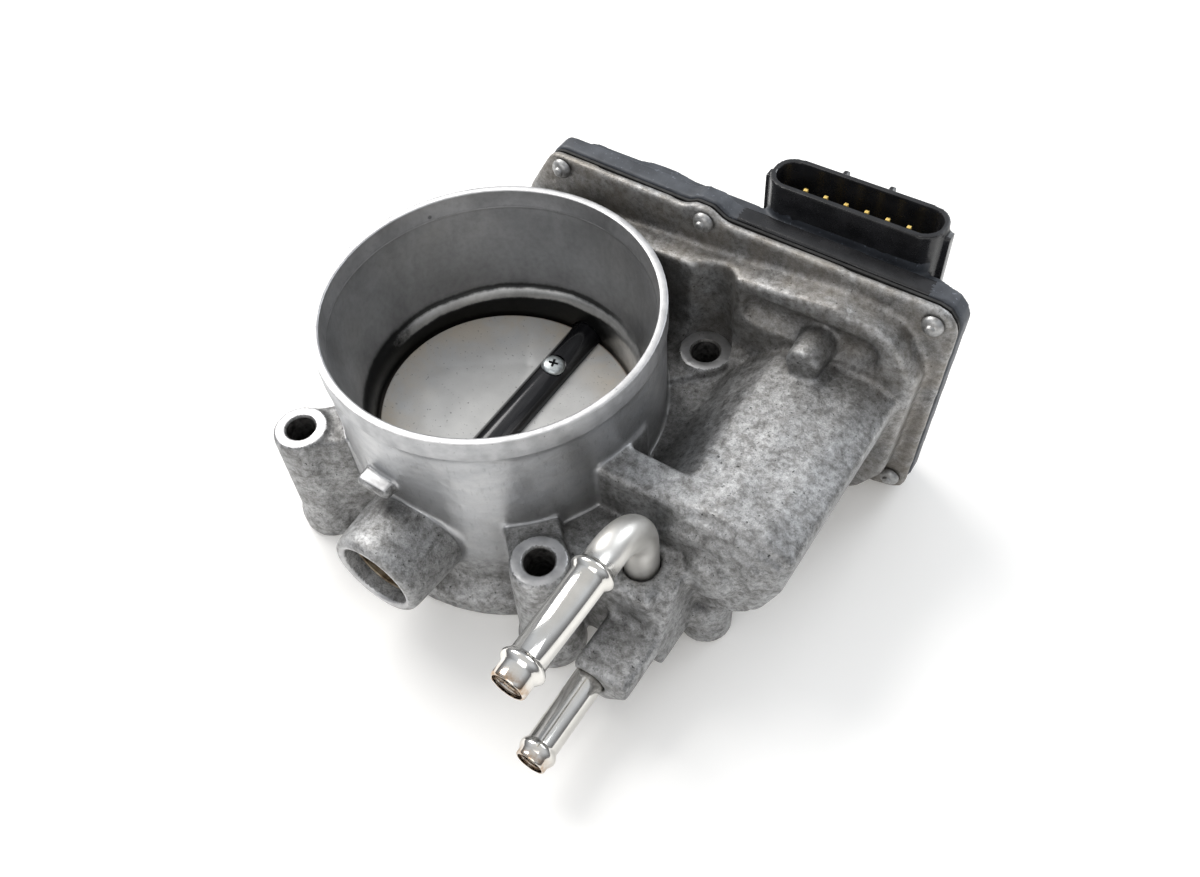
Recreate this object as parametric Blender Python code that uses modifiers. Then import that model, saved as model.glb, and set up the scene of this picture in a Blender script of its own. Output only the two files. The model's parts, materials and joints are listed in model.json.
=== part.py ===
"""Electronic throttle body with a motor, a two-stage gear train and a side gear cover.

The inlet bore runs along +Z, the throttle shaft along +Y towards the gear cover, and the
motor lies on the +X side with its axis parallel to the shaft. Every shape is placed about
the point where the bore axis meets the base plane, and one parent empty then moves the
whole model so that the middle of its bounding box's floor is the origin.
"""

import math

import bmesh
import bpy
from mathutils import Matrix, Vector

MM = 0.001
GAP = 0.3 * MM                       # gap between neighbouring pieces
MERGE = 0.00001                      # merge distance for turned shapes and welded caps

# ---- Whole model -----------------------------------------------------------------------
ORIGIN_SHIFT = (-23.58 * MM, -1.8 * MM, 0.0)

# ---- Bore and inlet tube ---------------------------------------------------------------
TUBE_TOP = 66.0 * MM
RIM_R = 40.0 * MM
RIM_BAND = 5.5 * MM
RIM_BORE_R = 38.0 * MM
LEDGE_Z = 36.8 * MM
LEDGE_R = 33.5 * MM
THROAT_R = 33.0 * MM
BASE_RING_R = 43.0 * MM
BASE_RING_T = 6.0 * MM
BORE_STEPS = 60

# ---- Bolt bosses -----------------------------------------------------------------------
BOLT_HALF = 35.5 * MM                # the holes are on a square, twice this apart
BOSS_R = 6.9 * MM
BOSS_TOP = 36.5 * MM
BOLT_HOLE_R = 3.5 * MM
BOLT_HEAD_R = 6.5 * MM               # round room for the bolt heads beside the gear case
FOOT_R = 8.3 * MM
FOOT_T = 5.5 * MM

# ---- Throttle shaft and plate ----------------------------------------------------------
SHAFT_X = 0.9 * MM                   # the shaft lies a little to the +X side of the bore axis
SHAFT_Z = 25.0 * MM
SHAFT_R = 4.5 * MM
SHAFT_Y0 = -45.0 * MM
SHAFT_Y1 = 54.0 * MM
PLATE_R = 32.6 * MM
PLATE_T = 2.0 * MM
PLATE_TILT = math.radians(7.5)       # -X side up while at rest
SCREW_Y = 17.0 * MM
SCREW_HEAD_R = 3.05 * MM
RECESS = (2.0 * MM, 0.35 * MM, 0.9 * MM)   # half size of one blade of the cross recess

# ---- Shaft boss on the -Y side ---------------------------------------------------------
BOSS_END_Y = -54.5 * MM
SHAFT_BOSS_R = 12.0 * MM
SHAFT_BOSS_BORE_R = 8.9 * MM
FRONT_SEAT_Y = -46.0 * MM            # bottom of the wide counterbore

# ---- Gear case and cover ---------------------------------------------------------------
FLOOR_Y = 43.0 * MM                  # floor of the gear chamber
FLANGE_Y = 48.0 * MM                 # joint face of the casting
GASKET_T = 0.7 * MM
COVER_Y = FLANGE_Y + GASKET_T + 2 * GAP
COVER_BAND_Y = 54.0 * MM
COVER_TOP_Y = 59.5 * MM
COVER_CEILING_Y = 57.3 * MM
BULGE_XZ = (8.0 * MM, 35.2 * MM)
BULGE_R = 29.2 * MM
BULGE_Y = 62.2 * MM

# ---- Gears -----------------------------------------------------------------------------
MOTOR_XZ = (61.5 * MM, 28.5 * MM)
MODULE_1 = 0.9 * MM                  # throttle sector and small idler gear
MODULE_2 = 0.8 * MM                  # large idler gear and motor pinion
SECTOR_TEETH = 53                    # teeth that the sector would have as a full gear
SMALL_TEETH = 17
LARGE_TEETH = 62
PINION_TEETH = 15
SECTOR_Y = (46.5 * MM, 50.0 * MM)
LARGE_Y = (51.0 * MM, 54.6 * MM)
STOP_SCREW_Y = 45.4 * MM
STOP_SCREW_Z = 44.8 * MM
TEETH_BACK = 1                       # sector teeth below and above the mesh at rest
TEETH_AHEAD = 12

# ---- Motor -----------------------------------------------------------------------------
CAN_R = 15.5 * MM
CAN_Y = (-10.4 * MM, 40.0 * MM)
MOTOR_BORE_R = 15.9 * MM
MOTOR_BORE_Y = -11.9 * MM
MOTOR_END_Y = -16.4 * MM
MOTOR_SHAFT_R = 1.6 * MM
MOTOR_SCREW_REACH = 20.4 * MM        # from the motor axis, along Z
MOTOR_SCREW_X = MOTOR_XZ[0] + 5.0 * MM

# ---- Coolant pipes ---------------------------------------------------------------------
PIPE_X = 53.3 * MM
UPPER_PIPE_Z = 52.3 * MM
LOWER_PIPE_Z = 14.6 * MM
PIPE_END_Y = -67.6 * MM
ELBOW_Y = -22.3 * MM
ELBOW_BEND_R = 12.0 * MM
UPPER_PIPE_R = 4.0 * MM
LOWER_PIPE_R = 3.7 * MM
BLOCK_END_Y = -45.5 * MM

# ---- Connector -------------------------------------------------------------------------
SOCKET_X = (36.8 * MM, 79.4 * MM)
SOCKET_Y = (57.6 * MM, 69.0 * MM)
SOCKET_TOP = 74.0 * MM
SOCKET_FLOOR = 58.0 * MM
SOCKET_FOOT = 46.0 * MM
PIN_PITCH = 5.1 * MM
PIN_COUNT = 6
SOCKET_MID_X = (SOCKET_X[0] + SOCKET_X[1]) / 2
SOCKET_MID_Y = (SOCKET_Y[0] + SOCKET_Y[1]) / 2

RIVETS_XZ = [(-11.5, 67.1), (28.6, 67.3), (85.6, 63.1), (84.7, 7.0), (-22.4, 33.0), (-20.6, 7.6)]
RIVET_R = 1.4 * MM


# ---- Scene and naming ------------------------------------------------------------------
for old in list(bpy.data.objects):
    bpy.data.objects.remove(old, do_unlink=True)

parts = bpy.data.collections.new("throttle_body_assembly")
cutters = bpy.data.collections.new("cutters")
for collection in (parts, cutters):
    bpy.context.scene.collection.children.link(collection)

model = bpy.data.objects.new("model_origin", None)
model.location = ORIGIN_SHIFT
parts.objects.link(model)


def pivot(name, x, z):
    """An empty on a turning axis that is parallel to Y."""
    empty = bpy.data.objects.new(name, None)
    empty.location = (x, 0.0, z)
    empty.parent = model
    parts.objects.link(empty)
    return empty


def material(name, color, roughness, metallic=0.0):
    mat = bpy.data.materials.new(name)
    mat.use_nodes = True
    shader = mat.node_tree.nodes["Principled BSDF"]
    shader.inputs["Base Color"].default_value = (*color, 1.0)
    shader.inputs["Roughness"].default_value = roughness
    shader.inputs["Metallic"].default_value = metallic
    mat.diffuse_color = (*color, 1.0)
    return mat


CAST = material("cast_aluminium", (0.52, 0.51, 0.49), 0.55, 0.8)
COVER = material("black_cover_plastic", (0.03, 0.035, 0.045), 0.5)
RUBBER = material("black_rubber", (0.015, 0.015, 0.015), 0.8)
RIVET = material("rivet_aluminium", (0.7, 0.7, 0.69), 0.35, 0.9)
PIPE = material("nickel_plated_tube", (0.78, 0.75, 0.69), 0.18, 1.0)
STEEL = material("bright_steel", (0.62, 0.62, 0.63), 0.3, 1.0)
PLUG = material("plug_steel", (0.2, 0.19, 0.17), 0.5, 0.9)
SHAFT = material("black_shaft_steel", (0.02, 0.02, 0.022), 0.35, 0.7)
PLATE = material("throttle_plate_brass", (0.74, 0.73, 0.7), 0.35, 0.9)
ZINC = material("zinc_screw", (0.75, 0.79, 0.78), 0.28, 1.0)
NYLON = material("gear_nylon", (0.82, 0.79, 0.7), 0.5)
MAGNET = material("magnet_ferrite", (0.07, 0.07, 0.075), 0.6, 0.3)
COPPER = material("copper_winding", (0.72, 0.36, 0.2), 0.35, 1.0)
BRUSH = material("brush_carbon", (0.05, 0.05, 0.05), 0.7)
GOLD = material("gold_terminal", (0.9, 0.68, 0.25), 0.2, 1.0)
SPRING = material("spring_wire", (0.35, 0.35, 0.36), 0.3, 1.0)


# ---- Modelling helpers -----------------------------------------------------------------
def place(name, mesh, mat=None, parent=None, location=(0, 0, 0), rotation=(0, 0, 0)):
    """A mesh as an object: a part when it has a material, otherwise a hidden tool shape."""
    obj = bpy.data.objects.new(name, mesh)
    obj.location = location
    obj.rotation_euler = rotation
    obj.parent = parent or model
    if mat:
        parts.objects.link(obj)
        mesh.materials.append(mat)
    else:
        cutters.objects.link(obj)
        obj.hide_render = True
        obj.display_type = "WIRE"
    return obj


def smooth(obj, degrees=35.0):
    obj.data.shade_smooth()
    obj.data.set_sharp_from_angle(angle=math.radians(degrees))
    return obj


def boolean(target, tool, operation):
    mod = target.modifiers.new(tool.name, "BOOLEAN")
    mod.operation = operation
    mod.object = tool
    mod.solver = "EXACT"
    return target


def cut(target, *tools):
    for tool in tools:
        boolean(target, tool, "DIFFERENCE")
    return target


def join(target, *tools):
    for tool in tools:
        boolean(target, tool, "UNION")
    return target


def box(name, low, high, mat=None, parent=None, bevel=0.0):
    """A box between two corners, given in the frame of its parent."""
    mesh = bpy.data.meshes.new(name)
    bm = bmesh.new()
    bmesh.ops.create_cube(bm, size=1.0)
    size = [b - a for a, b in zip(low, high)]
    middle = [(a + b) / 2 for a, b in zip(low, high)]
    bmesh.ops.scale(bm, vec=size, verts=bm.verts)
    bm.to_mesh(mesh)
    bm.free()
    obj = place(name, mesh, mat, parent, location=middle)
    if bevel:
        mod = obj.modifiers.new("rounded_edges", "BEVEL")
        mod.width = bevel
        mod.segments = 1
    return obj


ALONG_Y = (-math.pi / 2, 0, 0)       # turns local +Z to +Y
ALONG_X = (0, math.pi / 2, 0)        # turns local +Z to +X


def rod(name, r, start, end, axis="Z", at=(0, 0, 0), mat=None, parent=None, steps=32, r_end=None):
    """A cylinder or cone along an axis, from start to end, through the point at."""
    mesh = bpy.data.meshes.new(name)
    bm = bmesh.new()
    bmesh.ops.create_cone(
        bm,
        cap_ends=True,
        segments=steps,
        radius1=r,
        radius2=r if r_end is None else r_end,
        depth=end - start,
        matrix=Matrix.Translation((0, 0, (start + end) / 2)),
    )
    bm.to_mesh(mesh)
    bm.free()
    turn = {"Z": (0, 0, 0), "Y": ALONG_Y, "X": ALONG_X}[axis]
    return smooth(place(name, mesh, mat, parent, location=at, rotation=turn))


def turned(name, profile, axis="Z", at=(0, 0, 0), mat=None, parent=None, steps=32):
    """A profile of (radius, height) points, listed from the top down, turned about its axis.

    Where the first and last points are off the axis, the profile is closed into a ring.
    """
    mesh = bpy.data.meshes.new(name)
    bm = bmesh.new()
    verts = [bm.verts.new((r, 0, h)) for r, h in profile]
    for a, b in zip(verts, verts[1:]):
        bm.edges.new((a, b))
    if profile[0][0] > 0:
        bm.edges.new((verts[-1], verts[0]))
    bm.to_mesh(mesh)
    bm.free()
    turn = {"Z": (0, 0, 0), "Y": ALONG_Y, "X": ALONG_X}[axis]
    obj = place(name, mesh, mat, parent, location=at, rotation=turn)
    mod = obj.modifiers.new("turned", "SCREW")
    mod.steps = steps
    mod.render_steps = steps
    mod.use_merge_vertices = True
    mod.merge_threshold = MERGE
    mod.use_smooth_shade = True
    return obj


def ring(name, r_in, r_out, start, end, **options):
    """A plain turned ring between two radii, from start to end along its axis."""
    return turned(name, [(r_out, end), (r_out, start), (r_in, start), (r_in, end)], **options)


def welded(curve_obj, name, mat=None):
    """A curve as one closed mesh with its caps welded, in the place of the curve."""
    bpy.context.view_layer.update()
    graph = bpy.context.evaluated_depsgraph_get()
    mesh = bpy.data.meshes.new_from_object(curve_obj.evaluated_get(graph))
    mesh.name = name
    bm = bmesh.new()
    bm.from_mesh(mesh)
    bmesh.ops.remove_doubles(bm, verts=bm.verts, dist=MERGE)
    bmesh.ops.recalc_face_normals(bm, faces=bm.faces)
    bm.to_mesh(mesh)
    bm.free()
    mesh.materials.clear()
    obj = place(name, mesh, mat, curve_obj.parent)
    obj.matrix_local = curve_obj.matrix_local
    bpy.data.objects.remove(curve_obj, do_unlink=True)
    return obj


def outline(name, loops, y0, y1, mat=None, parent=None):
    """Closed (x, z) loops filled and extruded from y0 to y1; inner loops are holes."""
    curve = bpy.data.curves.new(name, "CURVE")
    curve.dimensions = "2D"
    curve.fill_mode = "BOTH"
    curve.extrude = (y1 - y0) / 2
    for points in loops:
        spline = curve.splines.new("POLY")
        spline.points.add(len(points) - 1)
        for point, (x, z) in zip(spline.points, points):
            point.co = (x, z, 0, 1)
        spline.use_cyclic_u = True
    obj = bpy.data.objects.new(name + "_curve", curve)
    obj.location = (0, (y0 + y1) / 2, 0)
    obj.rotation_euler = (math.pi / 2, 0, 0)
    obj.parent = parent or model
    parts.objects.link(obj)
    return welded(obj, name, mat)


def tube_along(name, points, r, mat=None, parent=None, resolution=3):
    """A round bar along a list of points."""
    curve = bpy.data.curves.new(name, "CURVE")
    curve.dimensions = "3D"
    curve.bevel_depth = r
    curve.bevel_resolution = resolution
    curve.use_fill_caps = True
    spline = curve.splines.new("POLY")
    spline.points.add(len(points) - 1)
    for point, where in zip(spline.points, points):
        point.co = (*where, 1)
    obj = bpy.data.objects.new(name + "_curve", curve)
    obj.parent = parent or model
    parts.objects.link(obj)
    return welded(obj, name, mat)


def rounded(corners, radius, steps=2):
    """A closed outline in millimetres with each corner replaced by a short arc, in metres.

    A corner may give its own radius as a third value.
    """
    points = []
    count = len(corners)
    for i, corner in enumerate(corners):
        here = Vector(corner[:2])
        before = (Vector(corners[i - 1][:2]) - here).normalized()
        after = (Vector(corners[(i + 1) % count][:2]) - here).normalized()
        own = corner[2] if len(corner) > 2 else radius
        half = before.angle(after) / 2
        reach = own / math.tan(half)
        centre = here + (before + after).normalized() * own / math.sin(half)
        first = here + before * reach - centre
        turn = (here + after * reach - centre).angle_signed(first)
        for k in range(steps + 1):
            arm = first.copy()
            arm.rotate(Matrix.Rotation(turn * k / steps, 2))
            points.append(tuple((centre + arm) * MM))
    return points


def on_circle(centre, r, angle):
    return (centre[0] + r * math.cos(angle), centre[1] + r * math.sin(angle))


# ---- Outlines of the gear case, in (x, z) millimetres -----------------------------------
FLANGE_CORNERS = [
    (-15.0, 70.2, 4.0), (22.6, 69.2, 3.0), (25.2, 70.6, 2.0), (29.6, 70.4, 2.0), (33.0, 68.2, 3.0),
    (88.6, 67.2, 5.0), (91.0, 62.0, 4.0), (88.6, 3.0, 4.0), (81.0, 1.0, 3.0), (-23.5, 0.8, 6.0),
    (-28.0, 12.0, 5.0), (-28.0, 42.0, 6.0), (-22.8, 57.4, 6.0),
]
CHAMBER_CORNERS = [
    (-16.0, 57.0, 4.0), (22.0, 59.8, 3.0), (33.0, 60.0, 4.0), (66.0, 63.6, 5.0), (80.0, 61.0, 7.0),
    (86.8, 50.0, 5.0), (84.2, 15.0, 4.0), (77.5, 3.6, 5.0), (-12.0, 1.4, 5.0), (-19.0, 14.0, 5.0),
    (-19.0, 46.0, 5.0),
]
POCKET_CORNERS = [
    (-9.0, 52.5, 4.0), (14.0, 57.4, 5.0), (34.0, 58.4, 6.0), (66.0, 60.6, 5.0), (76.0, 56.0, 6.0),
    (81.6, 46.0, 5.0), (80.6, 15.0, 5.0), (74.0, 5.0, 5.0), (40.0, 3.4, 6.0), (2.0, 2.4, 6.0),
    (-8.0, 5.4, 5.0), (-15.0, 16.0, 6.0), (-15.0, 38.0, 6.0),
]
COVER_TOP_CORNERS = [
    (-12.5, 65.6, 4.0), (30.0, 64.9, 4.0), (84.4, 62.9, 4.0), (86.2, 57.0, 4.0), (84.2, 8.0, 4.0),
    (79.0, 5.6, 4.0), (-20.0, 5.4, 5.0), (-23.4, 13.0, 4.0), (-23.4, 41.5, 5.0), (-18.6, 54.8, 5.0),
]
COVER_POCKET_CORNERS = [
    (-9.0, 53.5, 4.0), (12.0, 60.8, 5.0), (34.0, 61.6, 6.0), (66.0, 60.9, 5.0), (76.0, 56.0, 6.0),
    (81.6, 46.0, 5.0), (80.6, 15.0, 5.0), (74.0, 5.0, 5.0), (40.0, 3.4, 6.0), (2.0, 2.4, 6.0),
    (-8.0, 5.4, 5.0), (-15.0, 16.0, 6.0), (-15.0, 38.0, 6.0),
]
MOTOR_CORNERS = [
    (34.0, 32.4, 1.0), (42.5, 34.0, 5.0), (49.0, 40.0, 5.0), (55.0, 45.6, 6.0), (66.0, 47.2, 6.0),
    (77.0, 46.6, 6.0), (84.2, 43.4, 1.5), (82.0, 30.0, 8.0), (77.6, 18.6, 7.0), (69.0, 10.8, 7.0),
    (56.0, 9.4, 7.0), (44.0, 16.0, 6.0), (34.0, 18.0, 2.0),
]


def inset(corners, distance):
    """The same outline moved inwards by a distance in millimetres, with its corner radii."""
    moved = []
    count = len(corners)
    for i, corner in enumerate(corners):
        here = Vector(corner[:2])
        before = (here - Vector(corners[i - 1][:2])).normalized()
        after = (Vector(corners[(i + 1) % count][:2]) - here).normalized()
        in_before = Vector((before.y, -before.x))
        in_after = Vector((after.y, -after.x))
        middle = (in_before + in_after).normalized()
        reach = distance / max(0.3, middle.dot(in_after))
        moved.append((*(here + middle * reach), max(0.8, corner[2] - 0.5 * distance)))
    return moved


# ---- Gear geometry ----------------------------------------------------------------------
PRESSURE_ANGLE = math.radians(22.5)
BACKLASH = 0.14 * MM
ADDENDUM = 0.85                      # of a module
DEDENDUM = 1.15


def involute(angle):
    return math.tan(angle) - angle


def gear_points(teeth, module, centre, tooth_at, first=0, last=None, flank_points=2):
    """Outline points of teeth number first to last, one tooth centred on the angle tooth_at."""
    pitch_r = teeth * module / 2
    base_r = pitch_r * math.cos(PRESSURE_ANGLE)
    tip_r = pitch_r + ADDENDUM * module
    root_r = pitch_r - DEDENDUM * module
    half_tooth = (math.pi * module / 2 - BACKLASH) / 2 / pitch_r
    start_r = max(base_r, root_r)

    def half_angle(r):
        return half_tooth + involute(PRESSURE_ANGLE) - involute(math.acos(min(1.0, base_r / r)))

    radii = [start_r + (tip_r - start_r) * k / (flank_points - 1) for k in range(flank_points)]
    points = []
    for tooth in range(first, teeth if last is None else last + 1):
        middle = tooth_at + 2 * math.pi * tooth / teeth
        if root_r < start_r:
            points.append(on_circle(centre, root_r, middle - half_angle(start_r)))
        points += [on_circle(centre, r, middle - half_angle(r)) for r in radii]
        points += [on_circle(centre, r, middle + half_angle(r)) for r in reversed(radii)]
        if root_r < start_r:
            points.append(on_circle(centre, root_r, middle + half_angle(start_r)))
    return points


SHAFT_XZ = (SHAFT_X, SHAFT_Z)
REACH_1 = (SECTOR_TEETH + SMALL_TEETH) * MODULE_1 / 2
REACH_2 = (LARGE_TEETH + PINION_TEETH) * MODULE_2 / 2
TO_MOTOR = Vector(MOTOR_XZ) - Vector(SHAFT_XZ)
ALONG = (REACH_1 ** 2 - REACH_2 ** 2 + TO_MOTOR.length ** 2) / (2 * TO_MOTOR.length)
ABOVE = math.sqrt(REACH_1 ** 2 - ALONG ** 2)
FORWARD = TO_MOTOR.normalized()
IDLER_XZ = tuple(Vector(SHAFT_XZ) + FORWARD * ALONG + Vector((-FORWARD.y, FORWARD.x)) * ABOVE)
MESH_1 = math.atan2(IDLER_XZ[1] - SHAFT_Z, IDLER_XZ[0] - SHAFT_X)
MESH_2 = math.atan2(MOTOR_XZ[1] - IDLER_XZ[1], MOTOR_XZ[0] - IDLER_XZ[0])

throttle_axis = pivot("throttle_axis", SHAFT_X, SHAFT_Z)
idler_axis = pivot("idler_axis", *IDLER_XZ)
motor_axis = pivot("motor_axis", *MOTOR_XZ)
HERE = (0.0, 0.0)                    # the centre of a piece that is parented to its axis


def polar_box(name, angle, r0, r1, width, z0, z1, bevel=0.0):
    """A box that runs outwards from the bore axis along an angle."""
    obj = box(name, (r0, -width / 2, z0), (r1, width / 2, z1), bevel=bevel)
    obj.rotation_euler = (0, 0, angle)
    middle = (r0 + r1) / 2
    obj.location = (middle * math.cos(angle), middle * math.sin(angle), (z0 + z1) / 2)
    return obj


# ---- Housing ----------------------------------------------------------------------------
def make_housing():
    body = turned(
        "housing",
        [
            (0, TUBE_TOP), (RIM_R, TUBE_TOP), (RIM_R, TUBE_TOP - RIM_BAND),
            (39.6 * MM, TUBE_TOP - RIM_BAND - 0.3 * MM), (39.4 * MM, 38 * MM), (38.4 * MM, 24 * MM),
            (38.2 * MM, 9 * MM), (BASE_RING_R - 1 * MM, BASE_RING_T), (BASE_RING_R, 5 * MM),
            (BASE_RING_R, 0), (0, 0),
        ],
        mat=CAST,
        steps=BORE_STEPS,
    )

    corners = [(sx, sy) for sx in (-1, 1) for sy in (-1, 1)]
    for number, (sx, sy) in enumerate(corners, 1):
        where = (sx * BOLT_HALF, sy * BOLT_HALF, 0)
        turn = math.atan2(sy, sx)
        out = BOLT_HALF * math.sqrt(2)
        join(
            body,
            turned(
                f"bolt_boss_{number}",
                [
                    (0, BOSS_TOP), (BOSS_R - 0.5 * MM, BOSS_TOP), (BOSS_R, BOSS_TOP - 0.5 * MM),
                    (BOSS_R + 0.5 * MM, FOOT_T + 2 * MM), (FOOT_R, FOOT_T), (FOOT_R, 0), (0, 0),
                ],
                at=where,
                steps=24,
            ),
            polar_box(
                f"boss_web_{number}", turn, 34 * MM, out, 12.6 * MM, 0.2 * MM, BOSS_TOP - 1.2 * MM
            ),
        )

    join(
        body,
        turned(
            "shaft_boss",
            [
                (0, -30 * MM), (13.0 * MM, -30 * MM), (SHAFT_BOSS_R, -50 * MM),
                (SHAFT_BOSS_R - 0.2 * MM, BOSS_END_Y + 1.2 * MM), (SHAFT_BOSS_R - 1.2 * MM, BOSS_END_Y),
                (0, BOSS_END_Y),
            ],
            axis="Y",
            at=(SHAFT_X, 0, SHAFT_Z),
        ),
        rod("shaft_tunnel", 13.5 * MM, 28 * MM, 40 * MM, axis="Y", at=(SHAFT_X, 0, SHAFT_Z)),
        box(
            "tube_lug", (-8.6 * MM, -43.4 * MM, 41.6 * MM), (0.8 * MM, -36 * MM, 44.6 * MM),
            bevel=0.5 * MM,
        ),
        outline("gear_case", [rounded(CHAMBER_CORNERS, 4.0)], 38.35 * MM, 46.4 * MM),
        outline("case_flange", [rounded(FLANGE_CORNERS, 4.0)], 45.6 * MM, FLANGE_Y),
        outline("motor_case", [rounded(MOTOR_CORNERS, 5.0)], -12.6 * MM, 40 * MM),
        outline(
            "motor_case_shoulder", [rounded(inset(MOTOR_CORNERS, 1.8), 4.0)], MOTOR_END_Y + 1.6 * MM, 0.0
        ),
        outline(
            "motor_case_end", [rounded(inset(MOTOR_CORNERS, 5.0), 4.0)], MOTOR_END_Y, 0.0
        ),
    )

    join(
        body,
        turned(
            "motor_end_bump",
            [
                (0, 4 * MM), (6.6 * MM, 4 * MM), (6.4 * MM, -17.6 * MM), (4.6 * MM, -19.6 * MM),
                (0, -20.2 * MM),
            ],
            axis="Y",
            at=(67.0 * MM, 0, 31.0 * MM),
            steps=20,
        ),
        turned(
            "front_foot",
            [(0, 13.5 * MM), (5.2 * MM, 13.5 * MM), (6.2 * MM, 11 * MM), (6.6 * MM, 0.6 * MM), (0, 0.6 * MM)],
            at=(64.0 * MM, -12.2 * MM, 0),
            steps=20,
        ),
        box("front_foot_web", (56 * MM, -12 * MM, 2 * MM), (69 * MM, 4 * MM, 13.0 * MM)),
        box(
            "step_block", (34 * MM, -14.2 * MM, 26 * MM), (60.5 * MM, 2 * MM, 46.4 * MM), bevel=0.8 * MM
        ),
        outline_x(
            "coolant_block",
            [
                (-31.0, 7.5), (-31.0, 21.6), (-26.6, 30.6), (-24.4, 33.0), (-2.0, 33.6), (-2.0, 7.5),
            ],
            49.5 * MM,
            63.4 * MM,
        ),
        outline(
            "coolant_arm",
            [
                rounded(
                    [(49.5, 10.2), (49.5, 20.6), (63.4, 20.6), (63.4, 15.6), (57.4, 9.4), (50.5, 9.4)], 0.8, 1
                )
            ],
            BLOCK_END_Y,
            -28 * MM,
        ),
        box("coolant_root", (33 * MM, -30.5 * MM, 5 * MM), (60 * MM, 2 * MM, 32.4 * MM), bevel=1.0 * MM),
        rod(
            "gate_stub", 3.3 * MM, 35.6 * MM, 44 * MM, axis="Y", at=(62.6 * MM, 0, 50.0 * MM), steps=20
        ),
        box("gate_stub_root", (59.6 * MM, 36.5 * MM, 42 * MM), (65.6 * MM, 42 * MM, 50 * MM)),
    )

    cut(
        body,
        outline("gear_pocket", [rounded(POCKET_CORNERS, 5.0)], FLOOR_Y, 60 * MM),
    )
    join(
        body,
        rod("bearing_boss", 10.2 * MM, 40 * MM, 45.8 * MM, axis="Y", at=(SHAFT_X, 0, SHAFT_Z), steps=28),
        rod(
            "idler_pin_boss", 4.4 * MM, 40 * MM, 45.6 * MM, axis="Y",
            at=(IDLER_XZ[0], 0, IDLER_XZ[1]), steps=20,
        ),
    )

    cut(
        body,
        turned(
            "bore_tool",
            [
                (0, TUBE_TOP + 1 * MM), (RIM_BORE_R + 0.2 * MM, TUBE_TOP + 1 * MM), (RIM_BORE_R, TUBE_TOP),
                (RIM_BORE_R - 0.5 * MM, TUBE_TOP - 4.8 * MM), (LEDGE_R + 0.9 * MM, LEDGE_Z + 0.8 * MM),
                (THROAT_R, LEDGE_Z - 2 * MM), (THROAT_R, -1 * MM), (0, -1 * MM),
            ],
            steps=BORE_STEPS,
        ),
        rod("shaft_tool", 4.9 * MM, -60 * MM, 60 * MM, axis="Y", at=(SHAFT_X, 0, SHAFT_Z), steps=24),
        turned(
            "front_seat_tool",
            [
                (0, -37.6 * MM), (6.9 * MM, -37.6 * MM), (6.9 * MM, FRONT_SEAT_Y),
                (SHAFT_BOSS_BORE_R, FRONT_SEAT_Y), (SHAFT_BOSS_BORE_R, BOSS_END_Y + 0.7 * MM),
                (SHAFT_BOSS_BORE_R + 0.7 * MM, BOSS_END_Y), (SHAFT_BOSS_BORE_R + 0.7 * MM, BOSS_END_Y - 1 * MM),
                (0, BOSS_END_Y - 1 * MM),
            ],
            axis="Y",
            at=(SHAFT_X, 0, SHAFT_Z),
            steps=28,
        ),
        rod("rear_seat_tool", 8.3 * MM, 37 * MM, 47 * MM, axis="Y", at=(SHAFT_X, 0, SHAFT_Z), steps=28),
        rod(
            "motor_bore_tool", MOTOR_BORE_R, MOTOR_BORE_Y, 47 * MM, axis="Y",
            at=(MOTOR_XZ[0], 0, MOTOR_XZ[1]), steps=48,
        ),
        rod(
            "idler_pin_tool", 2.3 * MM, 41.2 * MM, 47 * MM, axis="Y",
            at=(IDLER_XZ[0], 0, IDLER_XZ[1]), steps=16,
        ),
        rod("stop_screw_tool", 2.1 * MM, -40 * MM, -10 * MM, axis="X", at=(0, STOP_SCREW_Y, STOP_SCREW_Z), steps=12),
        rod("elbow_seat_tool", UPPER_PIPE_R + GAP, 24 * MM, 40 * MM, at=(PIPE_X, ELBOW_Y, 0), steps=20),
        rod("coolant_drill_tool", 2.6 * MM, LOWER_PIPE_Z, 26 * MM, at=(PIPE_X, ELBOW_Y, 0), steps=16),
        rod(
            "lower_seat_tool", LOWER_PIPE_R + GAP, -50 * MM, -36 * MM, axis="Y",
            at=(PIPE_X, 0, LOWER_PIPE_Z), steps=20,
        ),
        rod(
            "coolant_cross_tool", 2.6 * MM, -38 * MM, ELBOW_Y, axis="Y",
            at=(PIPE_X, 0, LOWER_PIPE_Z), steps=16,
        ),
    )
    for number, (sx, sy) in enumerate(corners, 1):
        cut(
            body,
            rod(
                f"bolt_tool_{number}", BOLT_HOLE_R, -1 * MM, BOSS_TOP + 8 * MM,
                at=(sx * BOLT_HALF, sy * BOLT_HALF, 0), steps=20,
            ),
        )
    for number, side in enumerate((-1, 1), 1):
        cut(
            body,
            rod(
                f"bolt_head_tool_{number}", BOLT_HEAD_R, BOSS_TOP, TUBE_TOP,
                at=(side * BOLT_HALF, BOLT_HALF, 0), steps=24,
            ),
            rod(
                f"motor_screw_tool_{number}", 1.55 * MM, 39.8 * MM, 47 * MM, axis="Y",
                at=(MOTOR_SCREW_X, 0, MOTOR_XZ[1] + side * MOTOR_SCREW_REACH), steps=12,
            ),
        )
    for number, (x, z) in enumerate(RIVETS_XZ, 1):
        cut(
            body,
            rod(
                f"rivet_tool_{number}", RIVET_R + GAP, 43 * MM, 50 * MM, axis="Y",
                at=(x * MM, 0, z * MM), steps=14,
            ),
        )
    return body


def outline_x(name, corners, x0, x1):
    """A closed (y, z) outline in millimetres extruded along X."""
    obj = outline(name, [[(y * MM, z * MM) for y, z in corners]], x0, x1)
    obj.rotation_euler = (math.pi / 2, 0, math.pi / 2)
    obj.location = ((x0 + x1) / 2, 0, 0)
    return obj


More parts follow.
